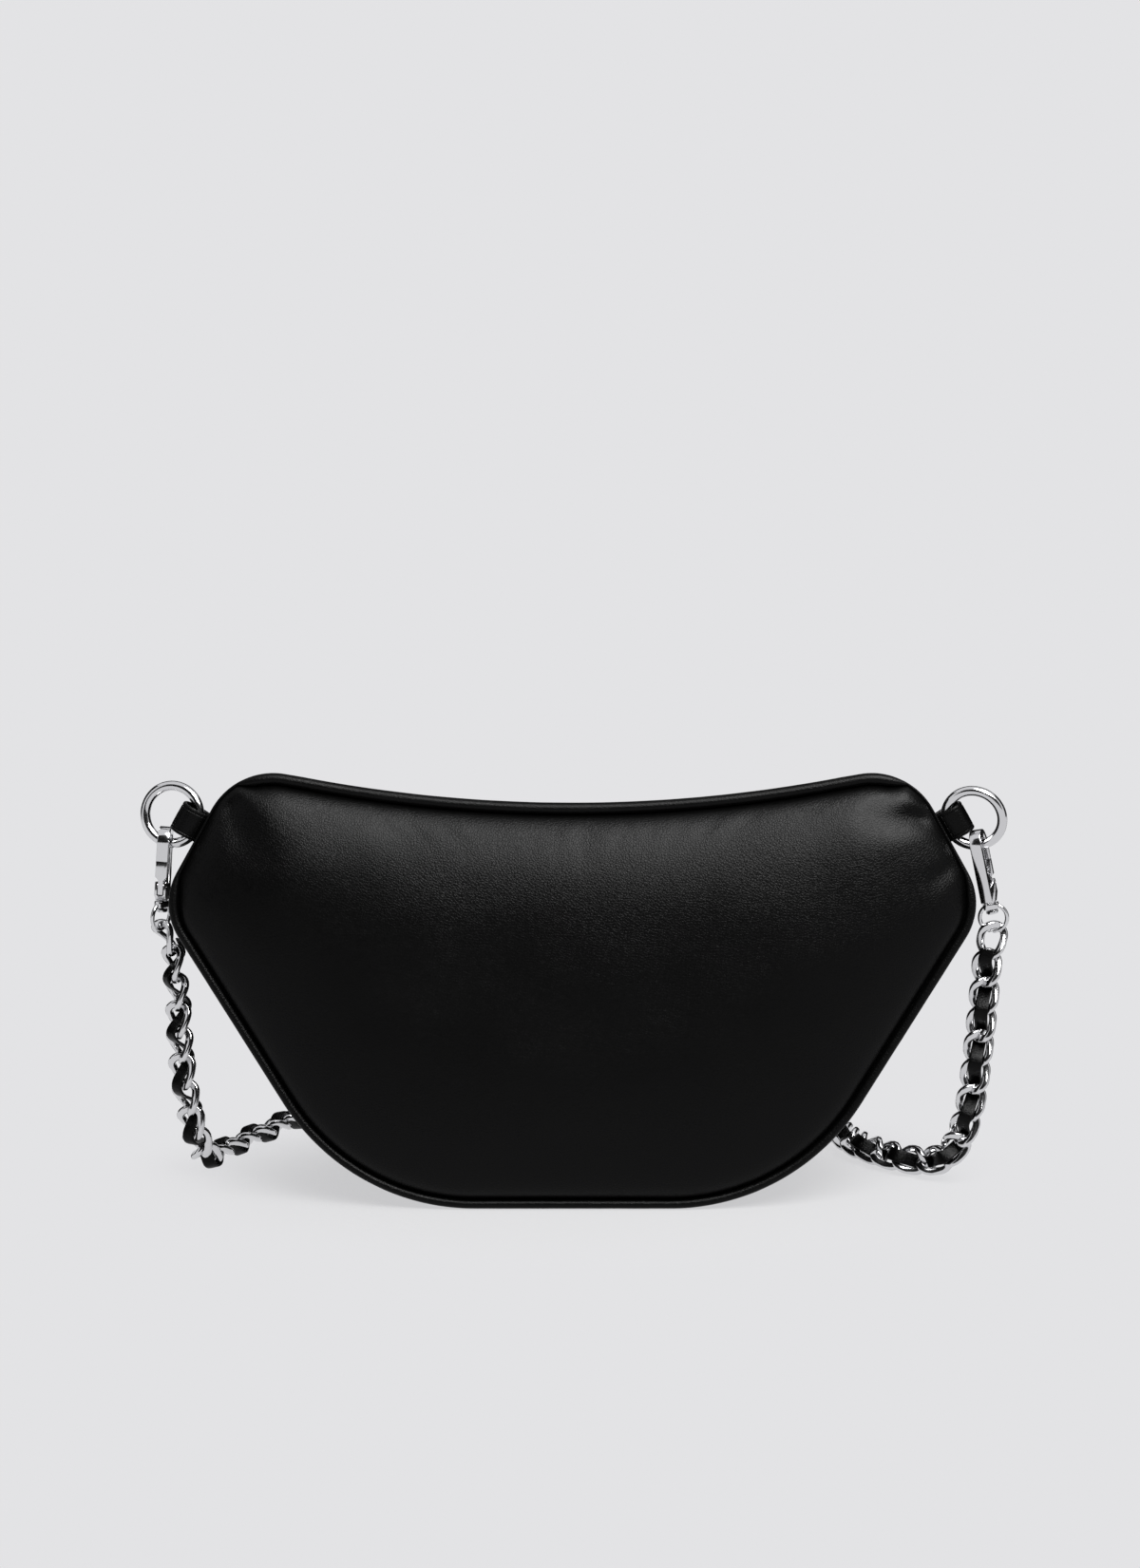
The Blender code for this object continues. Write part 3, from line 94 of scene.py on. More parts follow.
def loft(bm: bmesh.types.BMesh, rings: list, closed: bool = False, capped: bool = True) -> None:
    """Pulls a closed section through a row of rings, by extruding it from each ring to the next.

    Args:
        bm: The mesh that takes the skin.
        rings: Lists of places, one list per ring, all of one length.
        closed: Whether the last ring joins the first.
        capped: Whether an open skin gets end faces.
    """
    first = [bm.verts.new(place) for place in rings[0]]
    edges = [bm.edges.new((first[index - 1], first[index])) for index in range(len(first))]
    capped = capped and not closed
    if capped:
        bm.faces.new(first)
    row = first
    for ring in rings[1:] + (rings[:1] if closed else []):
        pulled = bmesh.ops.extrude_edge_only(bm, edges=edges)["geom"]
        fresh = {part for part in pulled if isinstance(part, bmesh.types.BMVert)}
        following = []
        for vert, place in zip(row, ring):
            after = next(edge.other_vert(vert) for edge in vert.link_edges if edge.other_vert(vert) in fresh)
            after.co = place
            following.append(after)
        row = following
        edges = [part for part in pulled if isinstance(part, bmesh.types.BMEdge) and fresh.issuperset(part.verts)]
    if capped:
        bm.faces.new(row)
    if closed:
        bmesh.ops.remove_doubles(bm, verts=first + row, dist=1e-7)


def oval(half_width: float, half_height: float, sides: int, squareness: float = 2.0) -> list:
    """A closed section that runs from an ellipse to a rounded rectangle.

    Args:
        half_width: Half of its width.
        half_height: Half of its height.
        sides: The number of its points.
        squareness: 2 for an ellipse, more for flatter sides.

    Returns:
        Pairs of width and height.
    """
    points = []
    for step in range(sides):
        turn = 2 * math.pi * (step + 0.5) / sides
        cosine, sine = math.cos(turn), math.sin(turn)
        power = 2 / squareness
        points.append(
            (
                half_width * math.copysign(abs(cosine) ** power, cosine),
                half_height * math.copysign(abs(sine) ** power, sine),
            )
        )
    return points


def sweep_rings(path: list, section: list, tops: list, closed: bool = False, scales: list | None = None) -> list:
    """Places a section square to each point of a path.

    Args:
        path: The places that the section follows.
        section: Pairs of width and height.
        tops: For each place, roughly where the section's height points.
        closed: Whether the path is a loop.
        scales: For each place, a factor on the section.

    Returns:
        One ring of places for each point of the path.
    """
    rings = []
    count = len(path)
    for index, place in enumerate(path):
        before = path[index - 1] if closed or index else place
        after = path[(index + 1) % count] if closed or index + 1 < count else place
        along = (after - before).normalized()
        across = along.cross(tops[index]).normalized()
        top = across.cross(along)
        scale = scales[index] if scales else 1.0
        rings.append([place + across * (wide * scale) + top * (high * scale) for wide, high in section])
    return rings


def smooth_line(points: list, steps: int) -> list:
    """A smooth curve through points of any dimension.

    Args:
        points: The points.
        steps: How many places each stretch gets.

    Returns:
        The close places.
    """
    ghosts = [2 * points[0] - points[1]] + points + [2 * points[-1] - points[-2]]
    dense = []
    for index in range(1, len(ghosts) - 2):
        before, here, there, after = ghosts[index - 1 : index + 3]
        for step in range(steps):
            share = step / steps
            square = 2 * before - 5 * here + 4 * there - after
            cube = 3 * here - 3 * there + after - before
            dense.append((2 * here + (there - before) * share + square * share**2 + cube * share**3) / 2)
    dense.append(points[-1])
    return dense


def bar(radius: float, low: float, high: float, sides: int = 24, rim: float = 0.0) -> bmesh.types.BMesh:
    """An upright round bar with bevelled rims.

    Args:
        radius: Its radius.
        low: Its lower end.
        high: Its upper end.
        sides: Its number of sides.
        rim: The width of the bevel round each end.

    Returns:
        The mesh.
    """
    bm = bmesh.new()
    bmesh.ops.create_cone(bm, cap_ends=True, segments=sides, radius1=radius, radius2=radius, depth=high - low)
    bmesh.ops.translate(bm, verts=bm.verts, vec=(0, 0, (high + low) / 2))
    if rim:
        edges = [edge for edge in bm.edges if len({round(vert.co.z, 7) for vert in edge.verts}) == 1]
        bevel(bm, edges, rim, 2)
    return bm


def bevel(bm: bmesh.types.BMesh, edges: list, width: float, segments: int = 2) -> None:
    """Rounds edges."""
    bmesh.ops.bevel(
        bm, geom=edges, offset=width, segments=segments, profile=0.5, affect="EDGES", material=-1
    )


def sharp_edges(bm: bmesh.types.BMesh, angle: float = math.radians(40)) -> list:
    """The edges between faces that meet at more than an angle."""
    bm.normal_update()
    return [edge for edge in bm.edges if len(edge.link_faces) == 2 and edge.calc_face_angle() > angle]


def block(low: tuple, high: tuple, rim: float = 0.0, segments: int = 2) -> bmesh.types.BMesh:
    """A box between two corners with rounded edges."""
    bm = bmesh.new()
    bmesh.ops.create_cube(bm, size=1)
    size = Vector(high) - Vector(low)
    bmesh.ops.scale(bm, verts=bm.verts, vec=size)
    bmesh.ops.translate(bm, verts=bm.verts, vec=(Vector(high) + Vector(low)) / 2)
    if rim:
        bevel(bm, bm.edges[:], rim, segments)
    return bm


def prism(outline: list, axis: Vector, depth: float, rim: float = 0.0, segments: int = 2) -> bmesh.types.BMesh:
    """A flat outline pushed along an axis, with rounded rims.

    Args:
        outline: The places of the flat outline.
        axis: The unit direction of the push.
        depth: How far it goes.
        rim: The width of the rounding of the two rims.
        segments: The steps of the rounding.

    Returns:
        The mesh.
    """
    bm = bmesh.new()
    face = bm.faces.new([bm.verts.new(place) for place in outline])
    pushed = bmesh.ops.extrude_face_region(bm, geom=[face])
    moved = [part for part in pushed["geom"] if isinstance(part, bmesh.types.BMVert)]
    bmesh.ops.translate(bm, verts=moved, vec=axis * depth)
    bmesh.ops.recalc_face_normals(bm, faces=bm.faces)
    if rim:
        flat = [edge for edge in bm.edges if abs((edge.verts[1].co - edge.verts[0].co).dot(axis)) < depth / 2]
        bevel(bm, flat, rim, segments)
    return bm


def torus(radius: float, wire: float, steps: int, sides: int) -> bmesh.types.BMesh:
    """A round ring about the local Y axis, made by a full spin."""
    bm = bmesh.new()
    made = bmesh.ops.create_circle(bm, cap_ends=False, segments=sides, radius=wire)
    bmesh.ops.translate(bm, verts=made["verts"], vec=(radius, 0, 0))
    bmesh.ops.spin(
        bm,
        geom=bm.verts[:] + bm.edges[:],
        cent=(0, 0, 0),
        axis=(0, 1, 0),
        angle=2 * math.pi,
        steps=steps,
        use_merge=True,
        use_duplicate=False,
    )
    bmesh.ops.recalc_face_normals(bm, faces=bm.faces)
    return bm


def merged(parts: list, matrix: Matrix | None = None) -> bmesh.types.BMesh:
    """Joins meshes into one, each as its own shell.

    Args:
        parts: The meshes, which are freed.
        matrix: Where the whole goes.

    Returns:
        The one mesh.
    """
    whole = bmesh.new()
    for part in parts:
        mesh = bpy.data.meshes.new("part")
        part.to_mesh(mesh)
        part.free()
        whole.from_mesh(mesh)
        bpy.data.meshes.remove(mesh)
    if matrix is not None:
        moved(whole, matrix)
    return whole


def moved(bm: bmesh.types.BMesh, matrix: Matrix) -> bmesh.types.BMesh:
    """Moves a mesh, and keeps its faces outwards where the matrix mirrors it."""
    bmesh.ops.transform(bm, matrix=matrix, verts=bm.verts)
    if matrix.determinant() < 0:
        bmesh.ops.reverse_faces(bm, faces=bm.faces)
    return bm


def thicken(bm: bmesh.types.BMesh, wall: float) -> None:
    """Gives an open sheet a wall on its inner side.

    Args:
        bm: The sheet, with its faces outwards and one open edge.
        wall: The thickness of the wall.
    """
    bm.normal_update()
    rim = [edge for edge in bm.edges if edge.is_boundary]
    lifts = {vert: vert.normal * wall for vert in bm.verts}
    copied = bmesh.ops.duplicate(bm, geom=bm.verts[:] + bm.edges[:] + bm.faces[:])
    for vert, lift in lifts.items():
        copied["vert_map"][vert].co -= lift
    bmesh.ops.reverse_faces(bm, faces=[part for part in copied["geom"] if isinstance(part, bmesh.types.BMFace)])
    bmesh.ops.bridge_loops(bm, edges=rim + [copied["edge_map"][edge] for edge in rim])


def cut(solid: bmesh.types.BMesh, tools: list) -> bmesh.types.BMesh:
    """Cuts tools out of a solid.

    Args:
        solid: The mesh to cut, which is freed.
        tools: The meshes to cut away, which are freed.

    Returns:
        The mesh that is left.
    """
    things = []
    for index, part in enumerate([solid, *tools]):
        mesh = bpy.data.meshes.new(f"cut_{index}")
        part.to_mesh(mesh)
        part.free()
        thing = bpy.data.objects.new(f"cut_{index}", mesh)
        bpy.context.scene.collection.objects.link(thing)
        things.append(thing)
    for tool in things[1:]:
        step = things[0].modifiers.new("cut", "BOOLEAN")
        step.operation = "DIFFERENCE"
        step.solver = "EXACT"
        step.object = tool
    bpy.context.view_layer.update()
    graph = bpy.context.evaluated_depsgraph_get()
    left = bmesh.new()
    left.from_mesh(things[0].evaluated_get(graph).to_mesh())
    for thing in things:
        mesh = thing.data
        bpy.data.objects.remove(thing, do_unlink=True)
        bpy.data.meshes.remove(mesh)
    return left


@dataclass
class Workshop:
    """Puts finished meshes in the scene.

    Attributes:
        shift: How far the bag was moved to stand over the origin.
        finishes: The material of each slot.
        made: The names of the pieces made so far.
    """

    shift: Vector
    finishes: dict
    made: list = field(default_factory=list)

    def place(
        self,
        name: str,
        bm: bmesh.types.BMesh,
        slot: Slot,
        nodes: tuple,
        body: str | None = "bag",
        crease: float = 38.0,
    ) -> bpy.types.Object:
        """Makes one piece of the bag.

        Args:
            name: The piece's name.
            bm: Its mesh, in the part's own place, which is freed.
            slot: The material slot that it takes.
            nodes: The CAD nodes that it stands for.
            body: The body that it rides on, or None where it bends between two.
            crease: The angle in degrees above which an edge stays sharp.

        Returns:
            The object.
        """
        bmesh.ops.translate(bm, verts=bm.verts, vec=self.shift)
        bmesh.ops.recalc_face_normals(bm, faces=bm.faces)
        mesh = bpy.data.meshes.new(name)
        bm.to_mesh(mesh)
        bm.free()
        mesh.shade_smooth()
        mesh.set_sharp_from_angle(angle=math.radians(crease))
        mesh.materials.append(self.finishes[slot])
        thing = bpy.data.objects.new(name, mesh)
        bpy.context.scene.collection.objects.link(thing)
        if body:
            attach(thing, body)
        if nodes:
            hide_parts(*nodes)
        self.made.append(name)
        return thing


# ---- shape of the bag


@dataclass(frozen=True)
class BagShape:
    """The outline, the depth and the zip of the bag, as the CAD part has them."""

    gap: float = 0.0003
    mid_height: float = 0.1365
    dip_radius: float = 0.491
    dip_half: float = 0.0912
    shoulder_half: float = 0.1141
    shoulder_height: float = 0.1489
    side_half: float = 0.1405
    side_height: float = 0.1019
    base_half: float = 0.0757
    shoulder_share: float = 0.730
    side_share: float = 0.235
    base_share: float = 0.558
    base_depth: float = 0.064
    back_lean: float = 0.022
    front_lean: float = 0.017
    front_drop: float = 0.0133
    back_bulge: float = 0.0125
    front_bulge: float = 0.0155
    panel_wall: float = 0.0022
    gusset_wall: float = 0.0018
    gusset_inset: float = 0.0008
    piping_radius: float = 0.0016
    roll_radius: float = 0.002
    turned_edge: float = 0.0004
    dome_round: float = 0.72
    spacing: float = 0.0013

    @property
    def spin_height(self) -> float:
        """The height of the dip's far centre."""
        return self.mid_height + self.dip_radius

    @property
    def seam_depth(self) -> float:
        """How far inside a panel's face the gusset and the zip strips start."""
        return self.panel_wall / 2 + self.roll_radius + self.gap

    @property
    def dip_angle(self) -> float:
        """Half of the dip, about its far centre."""
        return math.asin(self.dip_half / self.dip_radius)

    def drop(self, side: Side) -> float:
        """How much lower a side's top is."""
        return self.front_drop if side is Side.FRONT else 0.0

    def dip_point(self, angle: float, side: Side) -> Vector:
        """A place on the dip, in X and Z."""
        radius = self.dip_radius + self.drop(side)
        return Vector((radius * math.sin(angle), self.spin_height - radius * math.cos(angle)))

    def depth_at(self, height: float, side: Side) -> float:
        """How far out a panel's face lies at its edge."""
        if side is Side.BACK:
            return -self.base_depth / 2 + self.back_lean * height / self.mid_height
        return self.base_depth / 2 - self.front_lean * height / (self.mid_height - self.front_drop)

    def on_panel(self, place: Vector, inwards: float, side: Side) -> Vector:
        """A place in X and Z on a panel's edge plane, pushed towards the inside of the bag."""
        return Vector((place.x, self.depth_at(place.y, side) - side.value * inwards, place.y))

    def _stretch(self, start: Vector, stop: Vector, first: float, last: float) -> list:
        """Even places on a straight stretch, with their stations."""
        steps = max(1, round((stop - start).length / self.spacing))
        return [(start.lerp(stop, step / steps), first + (last - first) * step / steps) for step in range(steps)]

    def _arc(self, before: Vector, corner: Vector, after: Vector, share: float, first: float, last: float) -> list:
        """Even places on the arc that rounds a corner, with their stations, both ends included."""
        reach = share * min((before - corner).length, (after - corner).length)
        to_before = (before - corner).normalized()
        to_after = (after - corner).normalized()
        half_angle = to_before.angle(to_after) / 2
        radius = reach * math.tan(half_angle)
        centre = corner + (to_before + to_after).normalized() * (radius / math.sin(half_angle))
        start = corner + to_before * reach - centre
        stop = corner + to_after * reach - centre
        begin = math.atan2(start.y, start.x)
        turn = math.remainder(math.atan2(stop.y, stop.x) - begin, 2 * math.pi)
        steps = max(3, round(abs(turn) * radius / self.spacing))
        places = []
        for step in range(steps + 1):
            angle = begin + turn * step / steps
            place = centre + Vector((math.cos(angle), math.sin(angle))) * radius
            places.append((place, first + (last - first) * step / steps))
        return places

    def half_line(self, side: Side) -> list:
        """From the zip's right end over the shoulder to the middle of the base, with stations 0 to 17."""
        start = self.dip_point(self.dip_angle, side)
        shoulder = Vector((self.shoulder_half, self.shoulder_height - self.drop(side)))
        flank = Vector((self.side_half, self.side_height))
        foot = Vector((self.base_half, 0))
        middle = Vector((0, 0))
        shoulder_arc = self._arc(start, shoulder, flank, self.shoulder_share, 1, 5)
        side_arc = self._arc(shoulder, flank, foot, self.side_share, 6, 10)
        base_arc = self._arc(flank, foot, middle, self.base_share, 11, 16)
        return (
            self._stretch(start, shoulder_arc[0][0], 0, 1)
            + shoulder_arc[:-1]
            + self._stretch(shoulder_arc[-1][0], side_arc[0][0], 5, 6)
            + side_arc[:-1]
            + self._stretch(side_arc[-1][0], base_arc[0][0], 10, 11)
            + base_arc[:-1]
            + self._stretch(base_arc[-1][0], middle, 16, 17)
            + [(middle, 17.0)]
        )

    def belt(self, side: Side) -> list:
        """The gusset's line, from the zip's right end round the base to its left end, stations 0 to 34."""
        half = self.half_line(side)
        return half + [(Vector((-place.x, place.y)), 34 - station) for place, station in reversed(half[:-1])]

    def dip(self, side: Side) -> list:
        """The places between the zip's ends, left to right, stations 34 to 42."""
        steps = round(2 * self.dip_angle * self.dip_radius / self.spacing)
        return [
            (self.dip_point(self.dip_angle * (2 * step / steps - 1), side), 34 + 8 * step / steps)
            for step in range(1, steps)
        ]

    @staticmethod
    def inset(points: list, amounts: list, closed: bool = True) -> list:
        """Moves each place of a line inwards by its own amount."""
        count = len(points)
        inner = []
        for index, place in enumerate(points):
            before = points[index - 1] if closed or index else place
            after = points[(index + 1) % count] if closed or index + 1 < count else place
            along = (after - before).normalized()
            inner.append(place + Vector((along.y, -along.x)) * amounts[index])
        return inner

    def roll_at(self, station: float) -> float:
        """The roll's radius, which tapers off over the shoulders."""
        from_end = max(0.0, min(station, 34 - station))
        return self.roll_radius * float(np.interp(from_end, [1.8, 2.4, 2.8, 3.1, 3.3], [1, 0.93, 0.74, 0.46, 0.26]))

    def piping_at(self, station: float) -> float:
        """The piping's radius, which thins out where the leather is drawn over the shoulders."""
        from_end = max(0.0, min(station, 34 - station))
        return self.piping_radius * float(np.interp(from_end, [5.1, 5.6, 6.4, 7.3], [0.26, 0.32, 0.68, 1]))

    def edge_amount(self, station: float) -> float:
        """How far a panel's own edge lies inside the outline."""
        from_end = max(0.0, min(station, 34 - station))
        radius = self.roll_at(station) if from_end < 3.3 else self.piping_at(station)
        return 2 * radius + self.gap * min(1.0, radius / self.piping_radius)

    def panel_edge(self, side: Side) -> tuple:
        """A panel's own edge in X and Z, with its stations."""
        whole = self.belt(side) + self.dip(side)
        points = [place for place, _ in whole]
        stations = [station for _, station in whole]
        return self.inset(points, [self.edge_amount(station) for station in stations]), stations


@dataclass(frozen=True)
class ZipShape:
    """The zip's lines, as the CAD part has them."""

    bag: BagShape
    strip_wall: float = 0.0014
    strip_opening: float = 0.0104
    tape_wall: float = 0.0006
    tooth_pitch: float = 0.0024
    tooth_reach: float = 0.0025
    tooth_height: float = 0.0024
    rail_width: float = 0.0014
    rail_opening: float = 0.0032
    slider_length: float = 0.0105
    slider_nose: float = 0.0094
    slider_tail: float = 0.0088
    slider_plate: float = 0.0012
    slider_post: float = 0.0011
    stop_length: float = 0.0022
    bail_radius: float = 0.0005
    bail_reach: float = 0.003
    bail_rise: float = 0.0023
    pull_length: float = 0.021
    pull_width: float = 0.0064
    pull_wall: float = 0.001
    pull_slot: float = 0.0032

    @property
    def back_line(self) -> Vector:
        """The zip's rear edge in the middle of the dip."""
        bag = self.bag
        return Vector((0, -bag.base_depth / 2 + bag.back_lean + bag.seam_depth, bag.mid_height - bag.gusset_inset))

    @property
    def front_line(self) -> Vector:
        """The zip's front edge in the middle of the dip."""
        bag = self.bag
        height = bag.mid_height - bag.front_drop - bag.gusset_inset
        return Vector((0, bag.base_depth / 2 - bag.front_lean - bag.seam_depth, height))

    @property
    def centre(self) -> Vector:
        """The middle of the zip in the middle of the dip."""
        return (self.back_line + self.front_line) / 2

    @property
    def across(self) -> Vector:
        """The direction across the zip's slope."""
        return (self.front_line - self.back_line).normalized()

    @property
    def rise(self) -> Vector:
        """The direction off the zip's leather."""
        return Vector((1, 0, 0)).cross(self.across)

    @property
    def span(self) -> float:
        """Half of the distance between the two panels at the zip."""
        return (self.front_line - self.back_line).length / 2

    @property
    def angle(self) -> float:
        """Half of the zip, about the dip's far centre."""
        return self.bag.dip_angle - self.bag.gap / self.bag.dip_radius

    @property
    def tape_middle(self) -> float:
        """The height of the tape's middle."""
        return -self.strip_wall - self.bag.gap - self.tape_wall / 2

    @property
    def stop_angle(self) -> float:
        """Where the end stops sit."""
        return self.angle - (self.stop_length / 2 + self.bag.gap) / self.bag.dip_radius

    @property
    def slider_angle(self) -> float:
        """Where the slider rests, with the zip closed."""
        length = self.stop_length / 2 + self.bag.gap + self.slider_length / 2
        return self.stop_angle - length / self.bag.dip_radius

    def point(self, across: float, rise: float, angle: float) -> Vector:
        """A place on the zip: across its slope, above its leather, at an angle about the far centre."""
        flat = self.centre + self.across * across + self.rise * rise
        radius = self.bag.spin_height - flat.z
        return Vector((radius * math.sin(angle), flat.y, self.bag.spin_height - radius * math.cos(angle)))

    def frame(self, angle: float) -> Matrix:
        """Local X along the zip, Y across its slope, Z off its leather."""
        axes = Matrix((Vector((1, 0, 0)), self.across, self.rise)).transposed().to_4x4()
        return Matrix.Translation(self.point(0, 0, angle)) @ Matrix.Rotation(-angle, 4, "Y") @ axes

    def strip_edge(self, rise: float, angle: float, side: Side) -> Vector:
        """A strip's outer edge, just inside the roll."""
        bag = self.bag
        radius = bag.dip_radius + bag.drop(side) + bag.gusset_inset - rise
        place = Vector((radius * math.sin(angle), bag.spin_height - radius * math.cos(angle)))
        return bag.on_panel(place, bag.seam_depth, side)


# ---- finishes


def socket_maker(group: bpy.types.NodeTree, kind: str, label: str, way: str, value: float | None = None) -> None:
    """Adds one socket to a node group.

    Args:
        group: The node group.
        kind: The socket's type, such as NodeSocketFloat.
        label: Its name.
        way: INPUT or OUTPUT.
        value: Its default value.
    """
    made = group.interface.new_socket(name=label, in_out=way, socket_type=kind)
    if value is not None:
        made.default_value = value


def math_node(tree: bpy.types.NodeTree, operation: str, *values: object) -> bpy.types.NodeSocket:
    """Adds a math node whose inputs are sockets or numbers.

    Args:
        tree: The node tree.
        operation: The math operation.
        *values: A socket or a number for each input.

    Returns:
        The node's output.
    """
    node = tree.nodes.new("ShaderNodeMath")
    node.operation = operation
    for index, value in enumerate(values):
        if isinstance(value, bpy.types.NodeSocket):
            tree.links.new(value, node.inputs[index])
        else:
            node.inputs[index].default_value = value
    return node.outputs[0]


def noise_node(tree: bpy.types.NodeTree, vector: bpy.types.NodeSocket, scale: float, detail: float) -> bpy.types.NodeSocket:
    """Adds a noise texture and gives its value."""
    node = tree.nodes.new("ShaderNodeTexNoise")
    node.inputs["Scale"].default_value = scale
    node.inputs["Detail"].default_value = detail
    tree.links.new(vector, node.inputs["Vector"])
    return node.outputs[0]


def grain_group() -> bpy.types.NodeTree:
    """The fine cells of smooth leather, with their pores and a slow change across the hide."""
    group = bpy.data.node_groups.new("leather_grain", "ShaderNodeTree")
    socket_maker(group, "NodeSocketFloat", "Cells per metre", "INPUT", 1150.0)
    socket_maker(group, "NodeSocketFloat", "Height", "OUTPUT")
    socket_maker(group, "NodeSocketFloat", "Hide", "OUTPUT")
    inlet = group.nodes.new("NodeGroupInput")
    outlet = group.nodes.new("NodeGroupOutput")
    place = group.nodes.new("ShaderNodeTexCoord").outputs["Object"]
    warp = group.nodes.new("ShaderNodeTexNoise")
    warp.inputs["Scale"].default_value = 420
    group.links.new(place, warp.inputs["Vector"])
    bent = group.nodes.new("ShaderNodeVectorMath")
    bent.operation = "MULTIPLY_ADD"
    group.links.new(warp.outputs["Color"], bent.inputs[0])
    bent.inputs[1].default_value = (0.0006, 0.0006, 0.0006)
    group.links.new(place, bent.inputs[2])
    cells = group.nodes.new("ShaderNodeTexVoronoi")
    cells.feature = "DISTANCE_TO_EDGE"
    group.links.new(bent.outputs[0], cells.inputs["Vector"])
    group.links.new(inlet.outputs[0], cells.inputs["Scale"])
    plump = math_node(group, "SMOOTH_MIN", cells.outputs["Distance"], 0.22, 0.2)
    fine = noise_node(group, place, 2600, 2)
    rough = math_node(group, "MULTIPLY_ADD", fine, 0.16, plump)
    slow = noise_node(group, place, 34, 3)
    group.links.new(math_node(group, "MULTIPLY", rough, math_node(group, "MULTIPLY_ADD", slow, 1.1, 0.35)), outlet.inputs[0])
    group.links.new(slow, outlet.inputs[1])
    return group


def weave_group() -> bpy.types.NodeTree:
    """The ribs of a woven tape."""
    group = bpy.data.node_groups.new("tape_weave", "ShaderNodeTree")
    socket_maker(group, "NodeSocketFloat", "Threads per metre", "INPUT", 1900.0)
    socket_maker(group, "NodeSocketFloat", "Height", "OUTPUT")
    inlet = group.nodes.new("NodeGroupInput")
    outlet = group.nodes.new("NodeGroupOutput")
    place = group.nodes.new("ShaderNodeTexCoord").outputs["Object"]
    parts = group.nodes.new("ShaderNodeSeparateXYZ")
    group.links.new(place, parts.inputs[0])
    waves = []
    for axis in range(3):
        turn = math_node(group, "MULTIPLY", parts.outputs[axis], inlet.outputs[0])
        waves.append(math_node(group, "ABSOLUTE", math_node(group, "SINE", turn)))
    across = math_node(group, "MULTIPLY", waves[0], math_node(group, "MAXIMUM", waves[1], waves[2]))
    group.links.new(across, outlet.inputs[0])
    return group


def polish_group() -> bpy.types.NodeTree:
    """The slow waves and fine hairlines of plated metal."""
    group = bpy.data.node_groups.new("plated_polish", "ShaderNodeTree")
    socket_maker(group, "NodeSocketFloat", "Height", "OUTPUT")
    socket_maker(group, "NodeSocketFloat", "Wear", "OUTPUT")
    outlet = group.nodes.new("NodeGroupOutput")
    place = group.nodes.new("ShaderNodeTexCoord").outputs["Object"]
    group.links.new(noise_node(group, place, 190, 1), outlet.inputs[0])
    group.links.new(noise_node(group, place, 900, 4), outlet.inputs[1])
    return group


@dataclass(frozen=True)
class Finish:
    """What every finish has.

    Attributes:
        name: The material's name.
        colour: The linear base colour.
        roughness: The base roughness.
    """

    name: str
    colour: tuple
    roughness: float

    def start(self) -> tuple:
        """Makes the material and gives it with its tree and shader."""
        material = bpy.data.materials.new(self.name)
        material.use_nodes = True
        shader = material.node_tree.nodes["Principled BSDF"]
        shader.inputs["Base Color"].default_value = (*self.colour, 1)
        shader.inputs["Roughness"].default_value = self.roughness
        return material, material.node_tree, shader

    def relief(self, tree: bpy.types.NodeTree, shader: bpy.types.Node, height: object, depth: float) -> None:
        """Lays a fine relief on the shader."""
        bump = tree.nodes.new("ShaderNodeBump")
        bump.inputs["Strength"].default_value = 1
        bump.inputs["Distance"].default_value = depth
        tree.links.new(height, bump.inputs["Height"])
        tree.links.new(bump.outputs["Normal"], shader.inputs["Normal"])


@dataclass(frozen=True)
class LeatherFinish(Finish):
    """Smooth nappa leather.

    Attributes:
        cells: Grain cells per metre.
        depth: The height of the grain in metres.
        specular: The shader's specular level.
    """

    cells: float = 1150.0
    depth: float = 0.0002
    specular: float = 0.1

    def material(self, grain: bpy.types.NodeTree) -> bpy.types.Material:
        """Makes the material with its grain."""
        material, tree, shader = self.start()
        shader.inputs["Specular IOR Level"].default_value = self.specular
        node = tree.nodes.new("ShaderNodeGroup")
        node.node_tree = grain
        node.inputs[0].default_value = self.cells
        rough = math_node(tree, "MULTIPLY_ADD", node.outputs["Hide"], 0.06, self.roughness - 0.03)
        tree.links.new(rough, shader.inputs["Roughness"])
        self.relief(tree, shader, node.outputs["Height"], self.depth)
        return material


@dataclass(frozen=True)
class ClothFinish(Finish):
    """Woven tape and lining."""

    threads: float = 1900.0
    depth: float = 0.00008

    def material(self, weave: bpy.types.NodeTree) -> bpy.types.Material:
        """Makes the material with its weave."""
        material, tree, shader = self.start()
        shader.inputs["Specular IOR Level"].default_value = 0.2
        shader.inputs["Sheen Weight"].default_value = 0.15
        node = tree.nodes.new("ShaderNodeGroup")
        node.node_tree = weave
        node.inputs[0].default_value = self.threads
        self.relief(tree, shader, node.outputs["Height"], self.depth)
        return material


@dataclass(frozen=True)
class SteelFinish(Finish):
    """Polished, plated metal."""

    depth: float = 0.000012

    def material(self, polish: bpy.types.NodeTree) -> bpy.types.Material:
        """Makes the material with its wear."""
        material, tree, shader = self.start()
        shader.inputs["Metallic"].default_value = 1
        node = tree.nodes.new("ShaderNodeGroup")
        node.node_tree = polish
        rough = math_node(tree, "MULTIPLY_ADD", node.outputs["Wear"], 0.08, self.roughness - 0.04)
        tree.links.new(rough, shader.inputs["Roughness"])
        self.relief(tree, shader, node.outputs["Height"], self.depth)
        return material


# ---- bag


